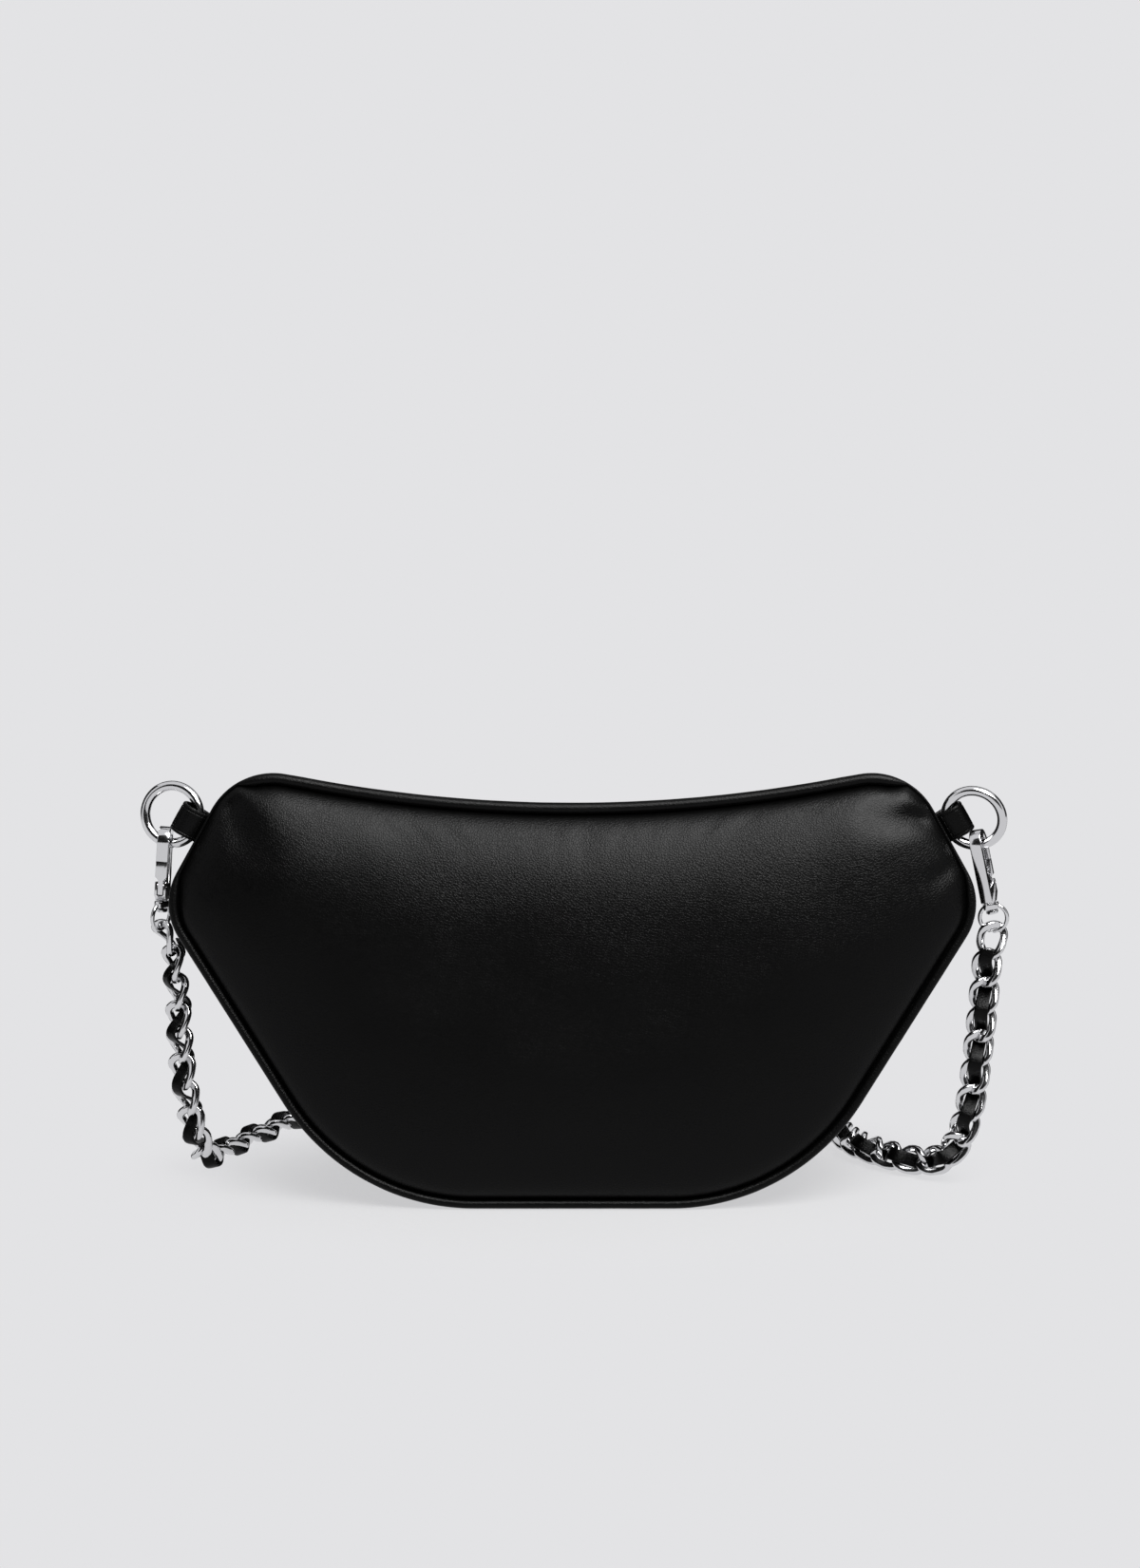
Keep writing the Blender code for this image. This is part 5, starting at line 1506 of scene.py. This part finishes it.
@dataclass
class StrapEnd:
    """One end of the strap on the bag: a folded tab, an O-ring and a swivel snap hook."""

    bag: BagShape
    size: HookShape
    hand: Hand
    shop: Workshop

    SEATS = {Hand.LEFT: 14, Hand.RIGHT: 10}
    TURNS = {Hand.LEFT: 174, Hand.RIGHT: -20}
    LEANS = {Hand.LEFT: 4, Hand.RIGHT: 12}
    EYES = {Hand.LEFT: 62, Hand.RIGHT: 12}

    def tab_frame(self) -> Matrix:
        """Local X out from the bag's upper side, Z down along it, Y to the front."""
        bag = self.bag
        shoulder = Vector((bag.shoulder_half, 0, bag.shoulder_height))
        corner = Vector((bag.side_half, 0, bag.side_height))
        up = (shoulder - corner).normalized()
        out = Vector((up.z, 0, -up.x))
        foot = corner + up * (self.size.ring_rise * up.z**2) - out * bag.gusset_inset
        axes = Matrix((out, Vector((0, 1, 0)), -up)).transposed().to_4x4()
        frame = Matrix.Translation(foot + Vector((0, self.size.tab_depth, 0))) @ axes
        return Matrix.Scale(self.hand.value, 4, (1, 0, 0)) @ frame

    def ring_frame(self) -> Matrix:
        """Local Y is the O-ring's axis."""
        tilt = -self.hand.value * self.size.ring_tilt
        wire = Vector((self.size.ring_reach - self.size.ring_radius * math.cos(tilt), 0, 0))
        centre = wire + Vector((math.cos(tilt), math.sin(tilt), 0)) * self.size.ring_radius
        return self.tab_frame() @ Matrix.Translation(centre) @ Matrix.Rotation(tilt, 4, "Z")

    def hook_frame(self) -> Matrix:
        """Origin at the O-ring's wire, Z up the hook, Y from its spine to its gate, X across its bar."""
        seat = math.radians(self.SEATS[self.hand])
        frame = self.ring_frame()
        down = frame.to_3x3().inverted() @ Vector((self.hand.value * math.sin(seat), 0, -math.cos(seat)))
        down.y = 0
        place = frame @ (down.normalized() * self.size.ring_radius)
        swing = Matrix.Rotation(-self.hand.value * math.radians(self.LEANS[self.hand]), 4, "Y")
        turn = Matrix.Rotation(math.radians(self.TURNS[self.hand]), 4, "Z")
        return Matrix.Translation(place) @ swing @ turn

    def tab(self) -> bmesh.types.BMesh:
        """A leather strap folded round the O-ring's wire, with creased edges and stitches at its root."""
        size = self.size
        inner = size.ring_wire + size.tab_room
        wall = size.tab_wall
        outer = inner + wall
        fold = size.tab_reach - outer
        start = self.bag.gap
        half = size.tab_width / 2
        stations = [
            (-half, 0.5),
            (-half + 0.00012, 0.22),
            (-half + 0.0004, 0.03),
            (-half + 0.0010, 0.0),
            (-half + 0.0012, 0.16),
            (-half + 0.0014, 0.16),
            (-half + 0.0016, 0.0),
            (0.0, -0.05),
        ]
        stations += [(-width, thin) for width, thin in reversed(stations[:-1])]
        rings = []
        for width, thin in stations:
            out, within = outer - wall * thin, inner + wall * max(0.0, thin - 0.05)
            height = width - size.tab_rise
            arc = [math.pi / 2 - math.pi * step / 20 for step in range(21)]
            legs = [start + (fold - start) * step / 6 for step in range(6)]
            drops = [size.tab_pinch * (1 - step / 6) ** 2 for step in range(6)]
            upper = [(x, out - drop) for x, drop in zip(legs, drops)]
            lower = [(x, within - drop) for x, drop in zip(legs, drops)]
            outside = upper + [(fold + out * math.cos(turn), out * math.sin(turn)) for turn in arc]
            outside += [(x, -y) for x, y in reversed(upper)]
            inside = [(x, -y) for x, y in lower]
            inside += [(fold + within * math.cos(turn), within * math.sin(turn)) for turn in reversed(arc)]
            inside += reversed(lower)
            rings.append([Vector((x, y, height)) for x, y in outside + inside])
        bm = bmesh.new()
        loft(bm, rings)
        parts = [bm]
        for face in (-1, 1):
            for step in range(4):
                stitch = bar(0.00022, -0.0009, 0.0009, 6, 0.00012)
                deep = outer + 0.00002 - size.tab_pinch * (1 - 0.0015 / (fold - start)) ** 2
                place = Vector((start + 0.0015, face * deep, -size.tab_rise + (step - 1.5) * 0.0023))
                parts.append(moved(stitch, Matrix.Translation(place)))
        return moved(merged(parts), self.tab_frame())

    def profile(self) -> list:
        """The hook from its side, Y from spine to gate and Z up."""
        size = self.size
        turns = [math.pi * step / 24 for step in range(25)]
        crown = [(-size.outer * math.cos(turn), size.top * math.sin(turn)) for turn in turns]
        throat = [(size.inner * math.cos(turn), size.inner * math.sin(turn)) for turn in turns]
        nose_end = size.top - size.nose
        cheek = size.top - size.cheek_top
        bar_ = size.thickness
        pin = size.pin_radius
        return (
            crown
            + [(size.outer, nose_end), (size.inner, nose_end)]
            + throat
            + [
                (-size.inner, cheek - bar_),
                (size.pin_depth - bar_, cheek - bar_ / 2),
                (size.pin_depth - pin, cheek),
                (size.pin_depth + pin, cheek),
                (size.outer, cheek - pin),
                (size.outer, size.foot + size.base_block),
                (bar_, size.foot),
                (-size.outer + bar_ / 2, size.foot),
                (-size.outer, size.foot + bar_ / 2),
            ]
        )

    def cross(self, radius: float, half: float, sides: int, rim: float = 0.0) -> bmesh.types.BMesh:
        """A round bar across the hook at the gate's pin."""
        place = Matrix.Translation((0, self.size.pin_depth, self.size.pin_height))
        return moved(bar(radius, -half, half, sides, rim), place @ Matrix.Rotation(math.pi / 2, 4, "Y"))

    def hook(self) -> bmesh.types.BMesh:
        """The hook's body with bevelled edges, a slot for the gate's tongue and the holes."""
        size, gap = self.size, self.bag.gap
        outline = [Vector((-size.width / 2, y, z)) for y, z in self.profile()]
        body = prism(outline, Vector((1, 0, 0)), size.width, 0.00022, 2)
        half = size.tongue / 2 + gap
        slot = block(
            (-half, -size.inner, size.foot + size.base_block),
            (half, size.outer + 0.002, size.top - size.cheek_top + 0.002),
        )
        pin = self.cross(size.pin_radius + size.pin_room, size.width, 20)
        stud = bar(size.stud_radius + size.stud_room, size.foot - 0.002, size.foot + size.stud_grip + gap, 24)
        return moved(cut(body, [slot, pin, stud]), self.hook_frame())

    def gate(self) -> bmesh.types.BMesh:
        """A lever as wide as the hook above, with a narrow tongue between the cheeks."""
        size = self.size
        wide, narrow = size.width / 2, size.tongue / 2
        lowest = size.top - size.nose - self.bag.gap
        top, full, end = lowest + self.bag.gap * 0.7, lowest - size.gate_full, lowest - size.gate_length
        slope = wide - narrow
        outline = [
            (-wide, top),
            (wide, top),
            (wide, full + slope),
            (narrow, full),
            (narrow, end),
            (-narrow, end),
            (-narrow, full),
            (-wide, full + slope),
        ]
        places = [Vector((x, size.outer - size.gate_wall, z)) for x, z in outline]
        body = prism(places, Vector((0, 1, 0)), size.gate_wall, 0.00012, 2)
        hole = self.cross(size.pin_radius + size.pin_room, size.width, 20)
        return moved(cut(body, [hole]), self.hook_frame())

    def spring_ends(self) -> tuple:
        """Where the spring starts to bend and where it goes with the gate."""
        middle = self.size.top - self.size.cheek_top
        bar_ = self.size.thickness
        return Vector((0, 0, middle)), Vector((0, 0, middle + 1.5 * bar_))

    def spring(self) -> bmesh.types.BMesh:
        """A bent wire from the base's floor to the back of the gate."""
        size, gap = self.size, self.bag.gap
        floor = size.foot + size.base_block + size.spring_radius + gap
        back = size.pin_depth - size.gate_wall / 2 - size.spring_radius - gap
        middle = size.top - size.cheek_top
        bar_ = size.thickness
        points = [
            Vector((0, back - bar_, floor)),
            Vector((0, -bar_ / 2, floor)),
            Vector((0, -bar_, floor + bar_)),
            Vector((0, -bar_ / 2, middle)),
            Vector((0, back - bar_ / 2, middle + bar_)),
            Vector((0, back, middle + 2 * bar_)),
        ]
        path = smooth_line(points, 4)
        bm = bmesh.new()
        loft(bm, sweep_rings(path, oval(size.spring_radius, size.spring_radius, 10), [Vector((1, 0, 0))] * len(path)))
        return moved(bm, self.hook_frame())

    def stud(self) -> bmesh.types.BMesh:
        """The swivel's rivet, with a domed head inside the eye."""
        size, gap = self.size, self.bag.gap
        head_top = size.foot - gap - size.boss_height - gap
        shaft = bar(size.stud_radius, head_top - gap, size.foot + size.stud_grip, 24)
        head = bar(size.stud_head, head_top - size.stud_head_height, head_top, 32, size.stud_head_height * 0.3)
        return moved(merged([shaft, head]), self.hook_frame())

    def eye(self) -> bmesh.types.BMesh:
        """A round eye with a drilled boss at its top."""
        size = self.size
        top = size.foot - self.bag.gap
        height = top - size.eye_radius - size.eye_wire
        ring = moved(torus(size.eye_radius, size.eye_wire, 64, 16), Matrix.Translation((0, 0, height)))
        half = (size.boss_width / 2, size.boss_depth / 2)
        outline = [Vector((x, y, top - size.boss_height)) for x, y in oval(*half, 40, 4)]
        boss = prism(outline, UP, size.boss_height, 0.0003, 2)
        bore = bar(size.stud_radius + size.stud_room, top - size.boss_height - 0.002, top + 0.002, 24)
        turn = Matrix.Rotation(math.radians(self.EYES[self.hand]), 4, "Z")
        ring_cut = bar(size.stud_head + 0.0003, height, top - size.boss_height, 24)
        return moved(merged([cut(boss, [bore]), cut(ring, [ring_cut])]), self.hook_frame() @ turn)

    def strap_end(self) -> Vector:
        """Where the chain's first link touches the inside of the eye."""
        size = self.size
        height = size.foot - self.bag.gap - size.eye_radius - size.eye_wire
        seat = 0.0004
        inside = height - size.eye_radius + size.eye_wire
        return self.hook_frame() @ Vector((0, 0, inside + 2 * self.bag.gap + seat / 2))

    def build(self) -> None:
        """Makes the tab, the O-ring and the hook."""
        name = self.hand.name.lower()
        size = self.size
        self.shop.place(f"tab_fold_{name}", self.tab(), Slot.LEATHER, (f"tab_{name}",))
        ring = moved(torus(size.ring_radius, size.ring_wire, 112, 28), self.ring_frame())
        self.shop.place(f"o_ring_{name}", ring, Slot.STEEL, (f"ring_{name}",), f"ring_{name}")
        self.shop.place(f"snap_hook_{name}", self.hook(), Slot.STEEL, (f"hook_body_{name}",), crease=30)
        self.shop.place(f"snap_gate_{name}", self.gate(), Slot.STEEL, (f"hook_gate_{name}",), f"gate_{name}", 30)
        pin = moved(self.cross(size.pin_radius, size.width / 2, 20, 0.00012), self.hook_frame())
        self.shop.place(f"snap_pin_{name}", pin, Slot.STEEL, (f"gate_pin_{name}",))
        spring = self.shop.place(f"snap_spring_{name}", self.spring(), Slot.STEEL, (f"gate_spring_{name}",), body=None)
        foot, head = (self.hook_frame() @ point + self.shop.shift for point in self.spring_ends())
        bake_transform(spring)
        self.shop.place(f"snap_stud_{name}", self.stud(), Slot.STEEL, (f"swivel_stud_{name}",))
        self.shop.place(f"snap_eye_{name}", self.eye(), Slot.STEEL, (f"swivel_eye_{name}",), f"eye_{name}")


# ---- strap


@dataclass
class Strap:
    """The curb chain and the flat lace that is woven through its links."""

    start: Vector
    stop: Vector
    bag: BagShape
    shop: Workshop
    wire: float = 0.00098
    half_width: float = 0.0039
    pitch: float = 0.0099
    twist: float = math.radians(44)
    run: int = 4
    seat: float = 0.0004
    run_gap: float = 0.0006
    lace_width: float = 0.0046
    lace_wall: float = 0.0009
    lace_lift: float = 0.0031
    lace_flat: float = 0.0022
    lying_height: float = 0.004
    route_steps: int = 60
    fitting_steps: int = 30

    ROUTE = (
        (-0.9750, -0.0078, 0.9009, 30),
        (-0.9643, -0.0125, 0.7810, 20),
        (-0.9601, -0.0078, 0.5886, 8),
        (-0.9544, 0.0156, 0.4075, 0),
        (-0.9402, 0.0500, 0.2377, 0),
        (-0.9225, 0.1172, 0.0962, -5),
        (-0.9047, 0.2578, 0.0136, -16),
        (-0.8764, 0.4219, 0.0000, -24),
        (-0.8267, 0.6328, 0.0000, -24),
        (-0.7664, 0.8750, 0.0000, -20),
        (-0.7025, 1.1094, 0.0000, -10),
        (-0.6032, 1.3906, 0.0000, 0),
        (-0.4400, 1.6094, 0.0000, 0),
        (-0.2271, 1.7031, 0.0000, 0),
        (0.0000, 1.7188, 0.0000, 0),
        (0.2217, 1.6719, 0.0000, 0),
        (0.4157, 1.5312, 0.0000, 0),
        (0.5612, 1.2969, 0.0000, 0),
        (0.6374, 1.0000, 0.0030, 5),
        (0.6686, 0.7031, 0.0090, 22),
        (0.6998, 0.4688, 0.0150, 45),
        (0.7587, 0.2734, 0.0180, 58),
        (0.8349, 0.1250, 0.0180, 66),
        (0.9007, 0.0234, 0.0507, 82),
        (0.9353, -0.0312, 0.1689, 100),
        (0.9547, -0.0547, 0.3266, 110),
        (0.9665, -0.0703, 0.5181, 112),
        (0.9769, -0.0859, 0.7208, 112),
        (0.9838, -0.0938, 0.8898, 104),
    )

    def rows(self) -> list:
        """The route's places with their turns, from the left eye by the floor to the right eye."""
        rows = []
        for across, depth, height, turn in self.ROUTE:
            near = self.start if across < 0 else self.stop
            lift = self.lying_height + (near.z - self.lying_height) * height
            rows.append(Vector((abs(near.x) * across, self.bag.base_depth * depth, lift, turn)))
        return [Vector((*self.start, rows[0].w))] + rows + [Vector((*self.stop, rows[-1].w))]

    def step_along(self, dense: list, index: int, here: Vector, distance: float) -> tuple:
        """The next place on the route that lies a straight distance from here."""
        while index + 1 < len(dense) and (dense[index + 1].to_3d() - here.to_3d()).length < distance:
            index += 1
        if index + 1 >= len(dense):
            last = (dense[-1] - dense[-2]).normalized()
            short = distance - (dense[-1].to_3d() - here.to_3d()).length
            return dense[-1] + last * max(short, 0), index
        low, high = dense[index], dense[index + 1]
        near, far = 0.0, 1.0
        for _ in range(self.fitting_steps):
            share = (near + far) / 2
            if (low.lerp(high, share).to_3d() - here.to_3d()).length < distance:
                near = share
            else:
                far = share
        return low.lerp(high, near), index

    def walk(self, dense: list, pitch: float, count: int) -> tuple:
        """Steps along the route in straight pitches, with a clear gap between runs of links."""
        starts, stops = [], []
        index, here = 0, dense[0]
        for link in range(count):
            starts.append(here)
            there, ahead = self.step_along(dense, index, here, pitch)
            stops.append(there)
            if link % self.run == self.run - 1:
                there, ahead = self.step_along(dense, index, here, pitch - self.seat - self.run_gap)
            here, index = there, ahead
        return starts, stops

    def frames(self) -> tuple:
        """One frame per link, X its width, Y its face and Z along the strap, and the pitch that fits."""
        dense = smooth_line(self.rows(), self.route_steps)
        length = sum((after.to_3d() - here.to_3d()).length for here, after in zip(dense, dense[1:]))
        count = round(length / (self.pitch - (self.seat + self.run_gap) / self.run))
        short, long = self.pitch * 0.9, self.pitch * 1.1
        end, before = dense[-1].to_3d(), dense[-2].to_3d()
        for _ in range(self.fitting_steps):
            pitch = (short + long) / 2
            reached = self.walk(dense, pitch, count)[1][-1].to_3d()
            if (reached - end).dot(end - before) < 0:
                short = pitch
            else:
                long = pitch
        frames = []
        width = Vector((0.85, -0.5, 0))
        for start, stop in zip(*self.walk(dense, pitch, count)):
            along = (stop.to_3d() - start.to_3d()).normalized()
            width = width - along * width.dot(along)
            width.z = 0
            width = (width - along * width.dot(along)).normalized()
            turned = Matrix.Rotation(math.radians((start.w + stop.w) / 2), 3, along) @ width
            axes = Matrix((turned, along.cross(turned), along)).transposed().to_4x4()
            frames.append(Matrix.Translation((start.to_3d() + stop.to_3d()) / 2) @ axes)
        return frames, pitch

    def link(self, pitch: float) -> bmesh.types.BMesh:
        """A curb link: a flattened wire in a long loop whose two bows are turned opposite ways."""
        half_length = pitch / 2 + self.wire - self.seat / 2
        straight = half_length - self.half_width
        path, tops = [], []
        for end in (1, -1):
            flat = [(end * self.half_width * math.cos(turn), end * (straight + self.half_width * math.sin(turn)))
                    for turn in (math.pi * step / 14 for step in range(15))]
            flat += [(-end * self.half_width, end * straight * (1 - 2 * step / 5)) for step in range(1, 5)]
            for across, along in flat:
                twist = self.twist * along / half_length
                path.append(Vector((across * math.cos(twist), across * math.sin(twist), along)))
                tops.append(Vector((-math.sin(twist), math.cos(twist), 0)))
        bm = bmesh.new()
        loft(bm, sweep_rings(path, oval(0.00132, 0.00100, 14, 3.4), tops, closed=True), closed=True)
        bmesh.ops.recalc_face_normals(bm, faces=bm.faces)
        return bm

    def chain(self, frames: list, pitch: float) -> list:
        """All links, in the same runs as the CAD part."""
        mould = bpy.data.meshes.new("link")
        model = self.link(pitch)
        model.to_mesh(mould)
        model.free()
        made = []
        for first in range(0, len(frames), self.run):
            links = []
            for frame in frames[first : first + self.run]:
                part = bmesh.new()
                part.from_mesh(mould)
                links.append(moved(part, frame))
            number = first // self.run + 1
            node = f"chain_run_{number:02d}"
            made.append(self.shop.place(f"curb_links_{number:02d}", merged(links), Slot.STEEL, (node,), crease=60))
        bpy.data.meshes.remove(mould)
        return made

    def lace(self, frames: list, pitch: float) -> tuple:
        """A flat lace over one joint of the chain and under the next.

        Returns:
            The mesh and the lace's middle line.
        """
        half = pitch / 2
        knots = []
        for index in range(len(frames) - 1):
            side = 1 if index % 2 else -1
            here, after = frames[index], frames[index + 1]
            turning = after.col[2].to_3d() - here.col[2].to_3d()
            face = (after.col[1] + here.col[1]).to_3d().normalized()
            rise = side * (self.lace_lift + self.lace_flat * max(0, -side * face.dot(turning)) / 2)
            for frame, along in ((here, half - self.lace_flat), (after, self.lace_flat - half)):
                place = frame @ Vector((0, rise, along))
                knots.append(Vector((*place, *(frame.to_3x3() @ Vector((1, 0, 0))))))
        dense = smooth_line(knots, 5)
        path = [Vector(point[:3]) for point in dense]
        tops = []
        for index, point in enumerate(dense):
            before, after = path[max(index - 1, 0)], path[min(index + 1, len(path) - 1)]
            tops.append(Vector(point[3:]).cross((after - before).normalized()))
        bm = bmesh.new()
        loft(bm, sweep_rings(path, oval(self.lace_width / 2, self.lace_wall / 2, 16, 4.5), tops))
        return bm, path

    def build(self) -> None:
        frames, pitch = self.frames()
        links = self.chain(frames, pitch)
        mesh, path = self.lace(frames, pitch)
        lace = self.shop.place("woven_lace", mesh, Slot.LEATHER, ("lace",), crease=60)


# ---- studio


@dataclass
class Studio:
    """The camera, the light and the pale floor round the bag.

    Attributes:
        shift: How far the bag was moved to stand over the origin.
        pale: The linear colour of the background.
        fill: The world's value for diffuse light.
        box_light: The softbox's radiance.
    """

    shift: Vector
    pale: tuple = (0.7682, 0.7682, 0.7835)
    fill: float = 0.5
    box_light: float = 14.5
    box_size: tuple = (0.9, 0.8)
    box_place: tuple = (0.35, -0.66, 1.06)
    box_aim: tuple = (0.0, 0.0, 0.08)
    place: tuple = (-0.0008, -1.532, 0.450)
    pitch: float = math.radians(11.4)
    lens: float = 105.36
    film: float = 36.0
    floor_colour: float = 0.43
    floor_share: float = 0.26
    floor_clear: tuple = (0.45, 1.0)
    floor_reach: tuple = (0.17, 0.11)
    floor_middle: tuple = (0.0, 0.0)
    flag_colour: float = 0.03

    FLAGS = (
        ("flag_left", (-1.5, 1.6, -0.8), (-0.52, 1.62, 2.2)),
        ("flag_right", (0.52, 1.6, -0.8), (1.5, 1.62, 2.2)),
        ("flag_top", (-0.52, 1.6, 0.5), (0.52, 1.62, 2.2)),
        ("flag_far_left", (-1.52, -0.2, -0.1), (-1.5, 1.62, 1.4)),
        ("flag_far_right", (1.5, -0.2, -0.1), (1.52, 1.62, 1.4)),
        ("flag_front", (-2.6, -2.12, 0.12), (2.6, -2.1, 2.6)),
    )

    def link(self, thing: bpy.types.Object) -> bpy.types.Object:
        """Puts an object in the scene."""
        bpy.context.scene.collection.objects.link(thing)
        return thing

    def camera(self) -> None:
        """The one camera, which stands where the photograph was taken from."""
        data = bpy.data.cameras.new("camera")
        data.sensor_fit = "VERTICAL"
        data.sensor_height = self.film
        data.lens = self.lens
        data.clip_end = 30
        camera = self.link(bpy.data.objects.new("camera", data))
        camera.location = Vector(self.place) + self.shift
        camera.rotation_euler = (math.pi / 2 - self.pitch, 0, 0)
        bpy.context.scene.camera = camera

    def world(self) -> None:
        """A pale backdrop that the camera and reflections see, over a plain fill light."""
        world = bpy.data.worlds.new("studio")
        bpy.context.scene.world = world
        world.use_nodes = True
        tree = world.node_tree
        fill = tree.nodes["Background"]
        fill.inputs["Color"].default_value = (self.fill, self.fill, self.fill, 1)
        shown = tree.nodes.new("ShaderNodeBackground")
        shown.inputs["Color"].default_value = (*self.pale, 1)
        rays = tree.nodes.new("ShaderNodeLightPath")
        glossy = math_node(tree, "ADD", rays.outputs["Is Camera Ray"], rays.outputs["Is Glossy Ray"])
        both = math_node(tree, "MINIMUM", math_node(tree, "ADD", glossy, rays.outputs["Is Transmission Ray"]), 1.0)
        mix = tree.nodes.new("ShaderNodeMixShader")
        tree.links.new(both, mix.inputs[0])
        tree.links.new(fill.outputs[0], mix.inputs[1])
        tree.links.new(shown.outputs[0], mix.inputs[2])
        tree.links.new(mix.outputs[0], tree.nodes["World Output"].inputs["Surface"])

    def softbox(self) -> None:
        """One large softbox above and before the bag."""
        data = bpy.data.lights.new("softbox", "AREA")
        data.shape = "RECTANGLE"
        data.size, data.size_y = self.box_size
        data.energy = self.box_light * math.pi * data.size * data.size_y
        lamp = self.link(bpy.data.objects.new("softbox", data))
        lamp.location = self.box_place
        aim = Vector(self.box_aim) - Vector(self.box_place)
        lamp.rotation_euler = aim.to_track_quat("-Z", "Y").to_euler()

    def floor(self) -> None:
        """A pale disc that takes the soft shadow and fades into the backdrop."""
        bm = bmesh.new()
        bmesh.ops.create_circle(bm, cap_ends=True, segments=96, radius=1)
        bmesh.ops.scale(bm, verts=bm.verts, vec=(*self.floor_reach, 1))
        bmesh.ops.translate(bm, verts=bm.verts, vec=(*self.floor_middle, -0.0002))
        mesh = bpy.data.meshes.new("floor")
        bm.to_mesh(mesh)
        bm.free()
        material = bpy.data.materials.new("floor")
        material.use_nodes = True
        tree = material.node_tree
        tree.nodes.remove(tree.nodes["Principled BSDF"])
        matt = tree.nodes.new("ShaderNodeBsdfDiffuse")
        matt.inputs["Color"].default_value = (self.floor_colour, self.floor_colour, self.floor_colour, 1)
        clear = tree.nodes.new("ShaderNodeBsdfTransparent")
        place = tree.nodes.new("ShaderNodeTexCoord").outputs["Object"]
        centred = tree.nodes.new("ShaderNodeVectorMath")
        centred.operation = "SUBTRACT"
        centred.inputs[1].default_value = (*self.floor_middle, 0)
        tree.links.new(place, centred.inputs[0])
        shares = tree.nodes.new("ShaderNodeVectorMath")
        shares.operation = "DIVIDE"
        shares.inputs[1].default_value = (*self.floor_reach, 1)
        tree.links.new(centred.outputs[0], shares.inputs[0])
        length = tree.nodes.new("ShaderNodeVectorMath")
        length.operation = "LENGTH"
        tree.links.new(shares.outputs[0], length.inputs[0])
        fade = tree.nodes.new("ShaderNodeMapRange")
        fade.interpolation_type = "SMOOTHSTEP"
        fade.inputs["From Min"].default_value, fade.inputs["From Max"].default_value = self.floor_clear
        fade.inputs["To Min"].default_value = 1 - self.floor_share
        tree.links.new(length.outputs["Value"], fade.inputs["Value"])
        mix = tree.nodes.new("ShaderNodeMixShader")
        tree.links.new(fade.outputs[0], mix.inputs[0])
        tree.links.new(matt.outputs[0], mix.inputs[1])
        tree.links.new(clear.outputs[0], mix.inputs[2])
        tree.links.new(mix.outputs[0], tree.nodes["Material Output"].inputs["Surface"])
        mesh.materials.append(material)
        self.link(bpy.data.objects.new("floor", mesh))

    def flags(self) -> None:
        """Dark flags round the pale backdrop, out of the picture, that draw the dark lines in the metal."""
        material = bpy.data.materials.new("flag")
        material.use_nodes = True
        shader = material.node_tree.nodes["Principled BSDF"]
        shader.inputs["Base Color"].default_value = (self.flag_colour, self.flag_colour, self.flag_colour, 1)
        shader.inputs["Roughness"].default_value = 1
        shader.inputs["Specular IOR Level"].default_value = 0
        for name, low, high in self.FLAGS:
            bm = block(low, high)
            mesh = bpy.data.meshes.new(name)
            bm.to_mesh(mesh)
            bm.free()
            mesh.materials.append(material)
            flag = self.link(bpy.data.objects.new(name, mesh))
            flag.visible_camera = False

    def build(self) -> None:
        """Makes the whole studio."""
        self.camera()
        self.world()
        self.softbox()
        self.floor()
        self.flags()
        bpy.context.scene.view_settings.view_transform = "Standard"


BACK_FOLDS = (
    Fold((-0.1158, 0.1358), (-0.1035, 0.1145), 0.0056, -0.0027),
    Fold((0.1190, 0.1318), (0.0960, 0.1332), 0.0036, -0.0023),
    Fold((0.1285, 0.1160), (0.1190, 0.1095), 0.0022, -0.0012),
)
FRONT_FOLDS = (
    Fold((-0.108, 0.128), (-0.094, 0.108), 0.005, -0.0012),
    Fold((0.109, 0.127), (0.092, 0.110), 0.005, -0.0012),
)


def build_bag(bag: BagShape, zip_: ZipShape, shop: Workshop) -> None:
    """Makes the panels, the seams, the gusset and the lining."""
    for side, word, folds in ((Side.BACK, "back", BACK_FOLDS), (Side.FRONT, "front", FRONT_FOLDS)):
        panel = PuffedPanel(bag, side, folds)
        thing = shop.place(f"puffed_{word}", panel.mesh(), Slot.LEATHER, (f"{word}_panel",), crease=60)
        seams = Seams(bag, side)
        shop.place(f"piping_{word}", seams.piping(), Slot.LEATHER, (f"{word}_piping",), crease=60)
        shop.place(f"roll_{word}", seams.roll(), Slot.LEATHER, (f"{word}_top_roll",), crease=60)
    shop.place("side_band", SideBand(bag).mesh(), Slot.LEATHER, ("gusset",))
    shop.place("lining_bag", Lining(bag, zip_.span).mesh(), Slot.CLOTH, ("lining",))


def main() -> None:
    """Builds the scene."""
    logging.basicConfig(level=logging.INFO, format="%(name)s %(message)s")
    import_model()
    bag = BagShape()
    zip_ = ZipShape(bag)
    hook = HookShape()
    low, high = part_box("gusset")
    shift = Vector(((low.x + high.x) / 2, low.y + bag.base_depth / 2 - bag.seam_depth, 0))
    finishes = {
        Slot.LEATHER: LeatherFinish("black_leather", (0.0009, 0.0009, 0.0009), 0.32).material(grain_group()),
        Slot.CLOTH: ClothFinish("black_cloth", (0.012, 0.012, 0.013), 0.85).material(weave_group()),
        Slot.STEEL: SteelFinish("polished_steel", (0.7, 0.7, 0.71), 0.12).material(polish_group()),
    }
    shop = Workshop(shift, finishes)
    build_bag(bag, zip_, shop)
    ZipClosure(bag, zip_, shop).build()
    ends = {hand: StrapEnd(bag, hook, hand, shop) for hand in Hand}
    for end in ends.values():
        end.build()
    Strap(ends[Hand.LEFT].strap_end(), ends[Hand.RIGHT].strap_end(), bag, shop).build()
    Studio(shift).build()
    LOG.info("%d pieces", len(shop.made))


if __name__ == "__main__":
    main()
